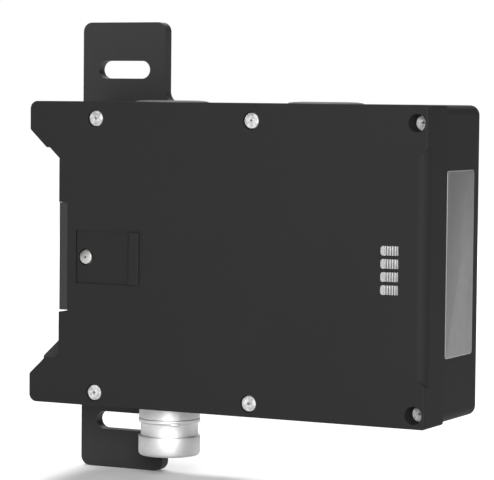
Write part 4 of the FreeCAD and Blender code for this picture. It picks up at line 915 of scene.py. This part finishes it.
class MODULE_OT_stage(PieceOperator, bpy.types.Operator):
    """Pale floor, soft studio lights and the camera at the photograph's angle"""
    bl_idname = "module.stage"
    bl_label = "Stage"

    def floor(self):
        """A wide matt white floor just under the object."""
        nothing_selected()
        gap = 0.0002
        bpy.ops.mesh.primitive_plane_add(size=40, location=(0, 0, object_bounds()[0][2] - gap))
        floor = bpy.context.object
        floor.name = "floor"
        bpy.ops.object.transform_apply(location=True, rotation=True, scale=True)
        tree, _ = new_material("floor_white")
        shader = add(tree, "ShaderNodeBsdfPrincipled", {"Base Color": linear("#fbfbfb"), "Roughness": 0.9,
                                                        "Specular IOR Level": 0.1})
        finish_material(tree, shader)
        floor.data.materials.append(bpy.data.materials["floor_white"])
        floor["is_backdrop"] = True

    def room(self, context):
        """A white room that the camera sees brighter than it lights the object."""
        world = bpy.data.worlds.new("studio")
        world.use_nodes = True
        tree = world.node_tree
        ray = add(tree, "ShaderNodeLightPath")
        level = add(tree, "ShaderNodeMapRange", {"To Min": ROOM_LIGHT, "To Max": 1.0},
                    Value=ray.outputs["Is Camera Ray"])
        background = tree.nodes["Background"]
        background.inputs["Color"].default_value = (1, 1, 1, 1)
        tree.links.new(level.outputs["Result"], background.inputs["Strength"])
        context.scene.world = world

    def lights(self, context):
        """Softboxes and the wide light above."""
        for name, place, aim, power, width, height in STUDIO_LIGHTS:
            lamp = bpy.data.lights.new(name, "AREA")
            lamp.shape = "RECTANGLE"
            lamp.energy = power
            lamp.size = width
            lamp.size_y = height
            holder = bpy.data.objects.new(name, lamp)
            context.collection.objects.link(holder)
            holder.location = place
            holder.rotation_euler = (Vector(aim) - Vector(place)).to_track_quat("-Z", "Y").to_euler()
        lamp = bpy.data.lights.new("overhead", "SUN")
        lamp.energy = OVERHEAD_LIGHT
        lamp.angle = math.radians(OVERHEAD_ANGLE)
        context.collection.objects.link(bpy.data.objects.new("overhead", lamp))

    def camera(self, context):
        """The camera where the photograph was taken from."""
        lens = bpy.data.cameras.new("camera")
        lens.lens = FOCAL_LENGTH
        lens.sensor_width = 36.0
        lens.clip_start = 0.05
        lens.clip_end = 100
        camera = bpy.data.objects.new("camera", lens)
        context.collection.objects.link(camera)
        aim = (Vector(CAMERA_AIM) - Vector(CAMERA_EYE)).to_track_quat("-Z", "Y")
        camera.location = CAMERA_EYE
        camera.rotation_mode = "QUATERNION"
        camera.rotation_quaternion = aim @ Quaternion((0, 0, 1), math.radians(CAMERA_ROLL))
        context.scene.camera = camera

    def execute(self, context):
        self.floor()
        self.room(context)
        self.lights(context)
        self.camera(context)
        context.scene.view_settings.view_transform = "Standard"
        return {"FINISHED"}


class MODULE_PT_panel(bpy.types.Panel):
    """Sidebar panel that lists the pieces"""
    bl_idname = "MODULE_PT_panel"
    bl_label = "Guard locking module"
    bl_space_type = "VIEW_3D"
    bl_region_type = "UI"
    bl_category = "Module"

    def draw(self, context):
        for operator in OPERATORS:
            self.layout.operator(operator.bl_idname)
        for group in (context.scene.module_colours, context.scene.module_sizes):
            for name in group.__annotations__:
                self.layout.prop(group, name)


OPERATORS = (
    MODULE_OT_materials,
    MODULE_OT_cover_screws,
    MODULE_OT_release_screw,
    MODULE_OT_status_windows,
    MODULE_OT_label,
    MODULE_OT_plugs,
    MODULE_OT_connector,
    MODULE_OT_follower_spring,
    MODULE_OT_stage,
)
CLASSES = (ModuleColours, ModuleSizes, *OPERATORS, MODULE_PT_panel)


def register():
    for cls in CLASSES:
        bpy.utils.register_class(cls)
    bpy.types.Scene.module_colours = bpy.props.PointerProperty(type=ModuleColours)
    bpy.types.Scene.module_sizes = bpy.props.PointerProperty(type=ModuleSizes)


def unregister():
    del bpy.types.Scene.module_sizes
    del bpy.types.Scene.module_colours
    for cls in reversed(CLASSES):
        bpy.utils.unregister_class(cls)


def main():
    register()
    bpy.ops.module.materials()
    bpy.ops.module.cover_screws()
    bpy.ops.module.release_screw()
    bpy.ops.module.status_windows()
    bpy.ops.module.label()
    bpy.ops.module.plugs()
    bpy.ops.module.connector()
    bpy.ops.module.follower_spring()
    bpy.ops.module.stage()


if __name__ == "__main__":
    main()
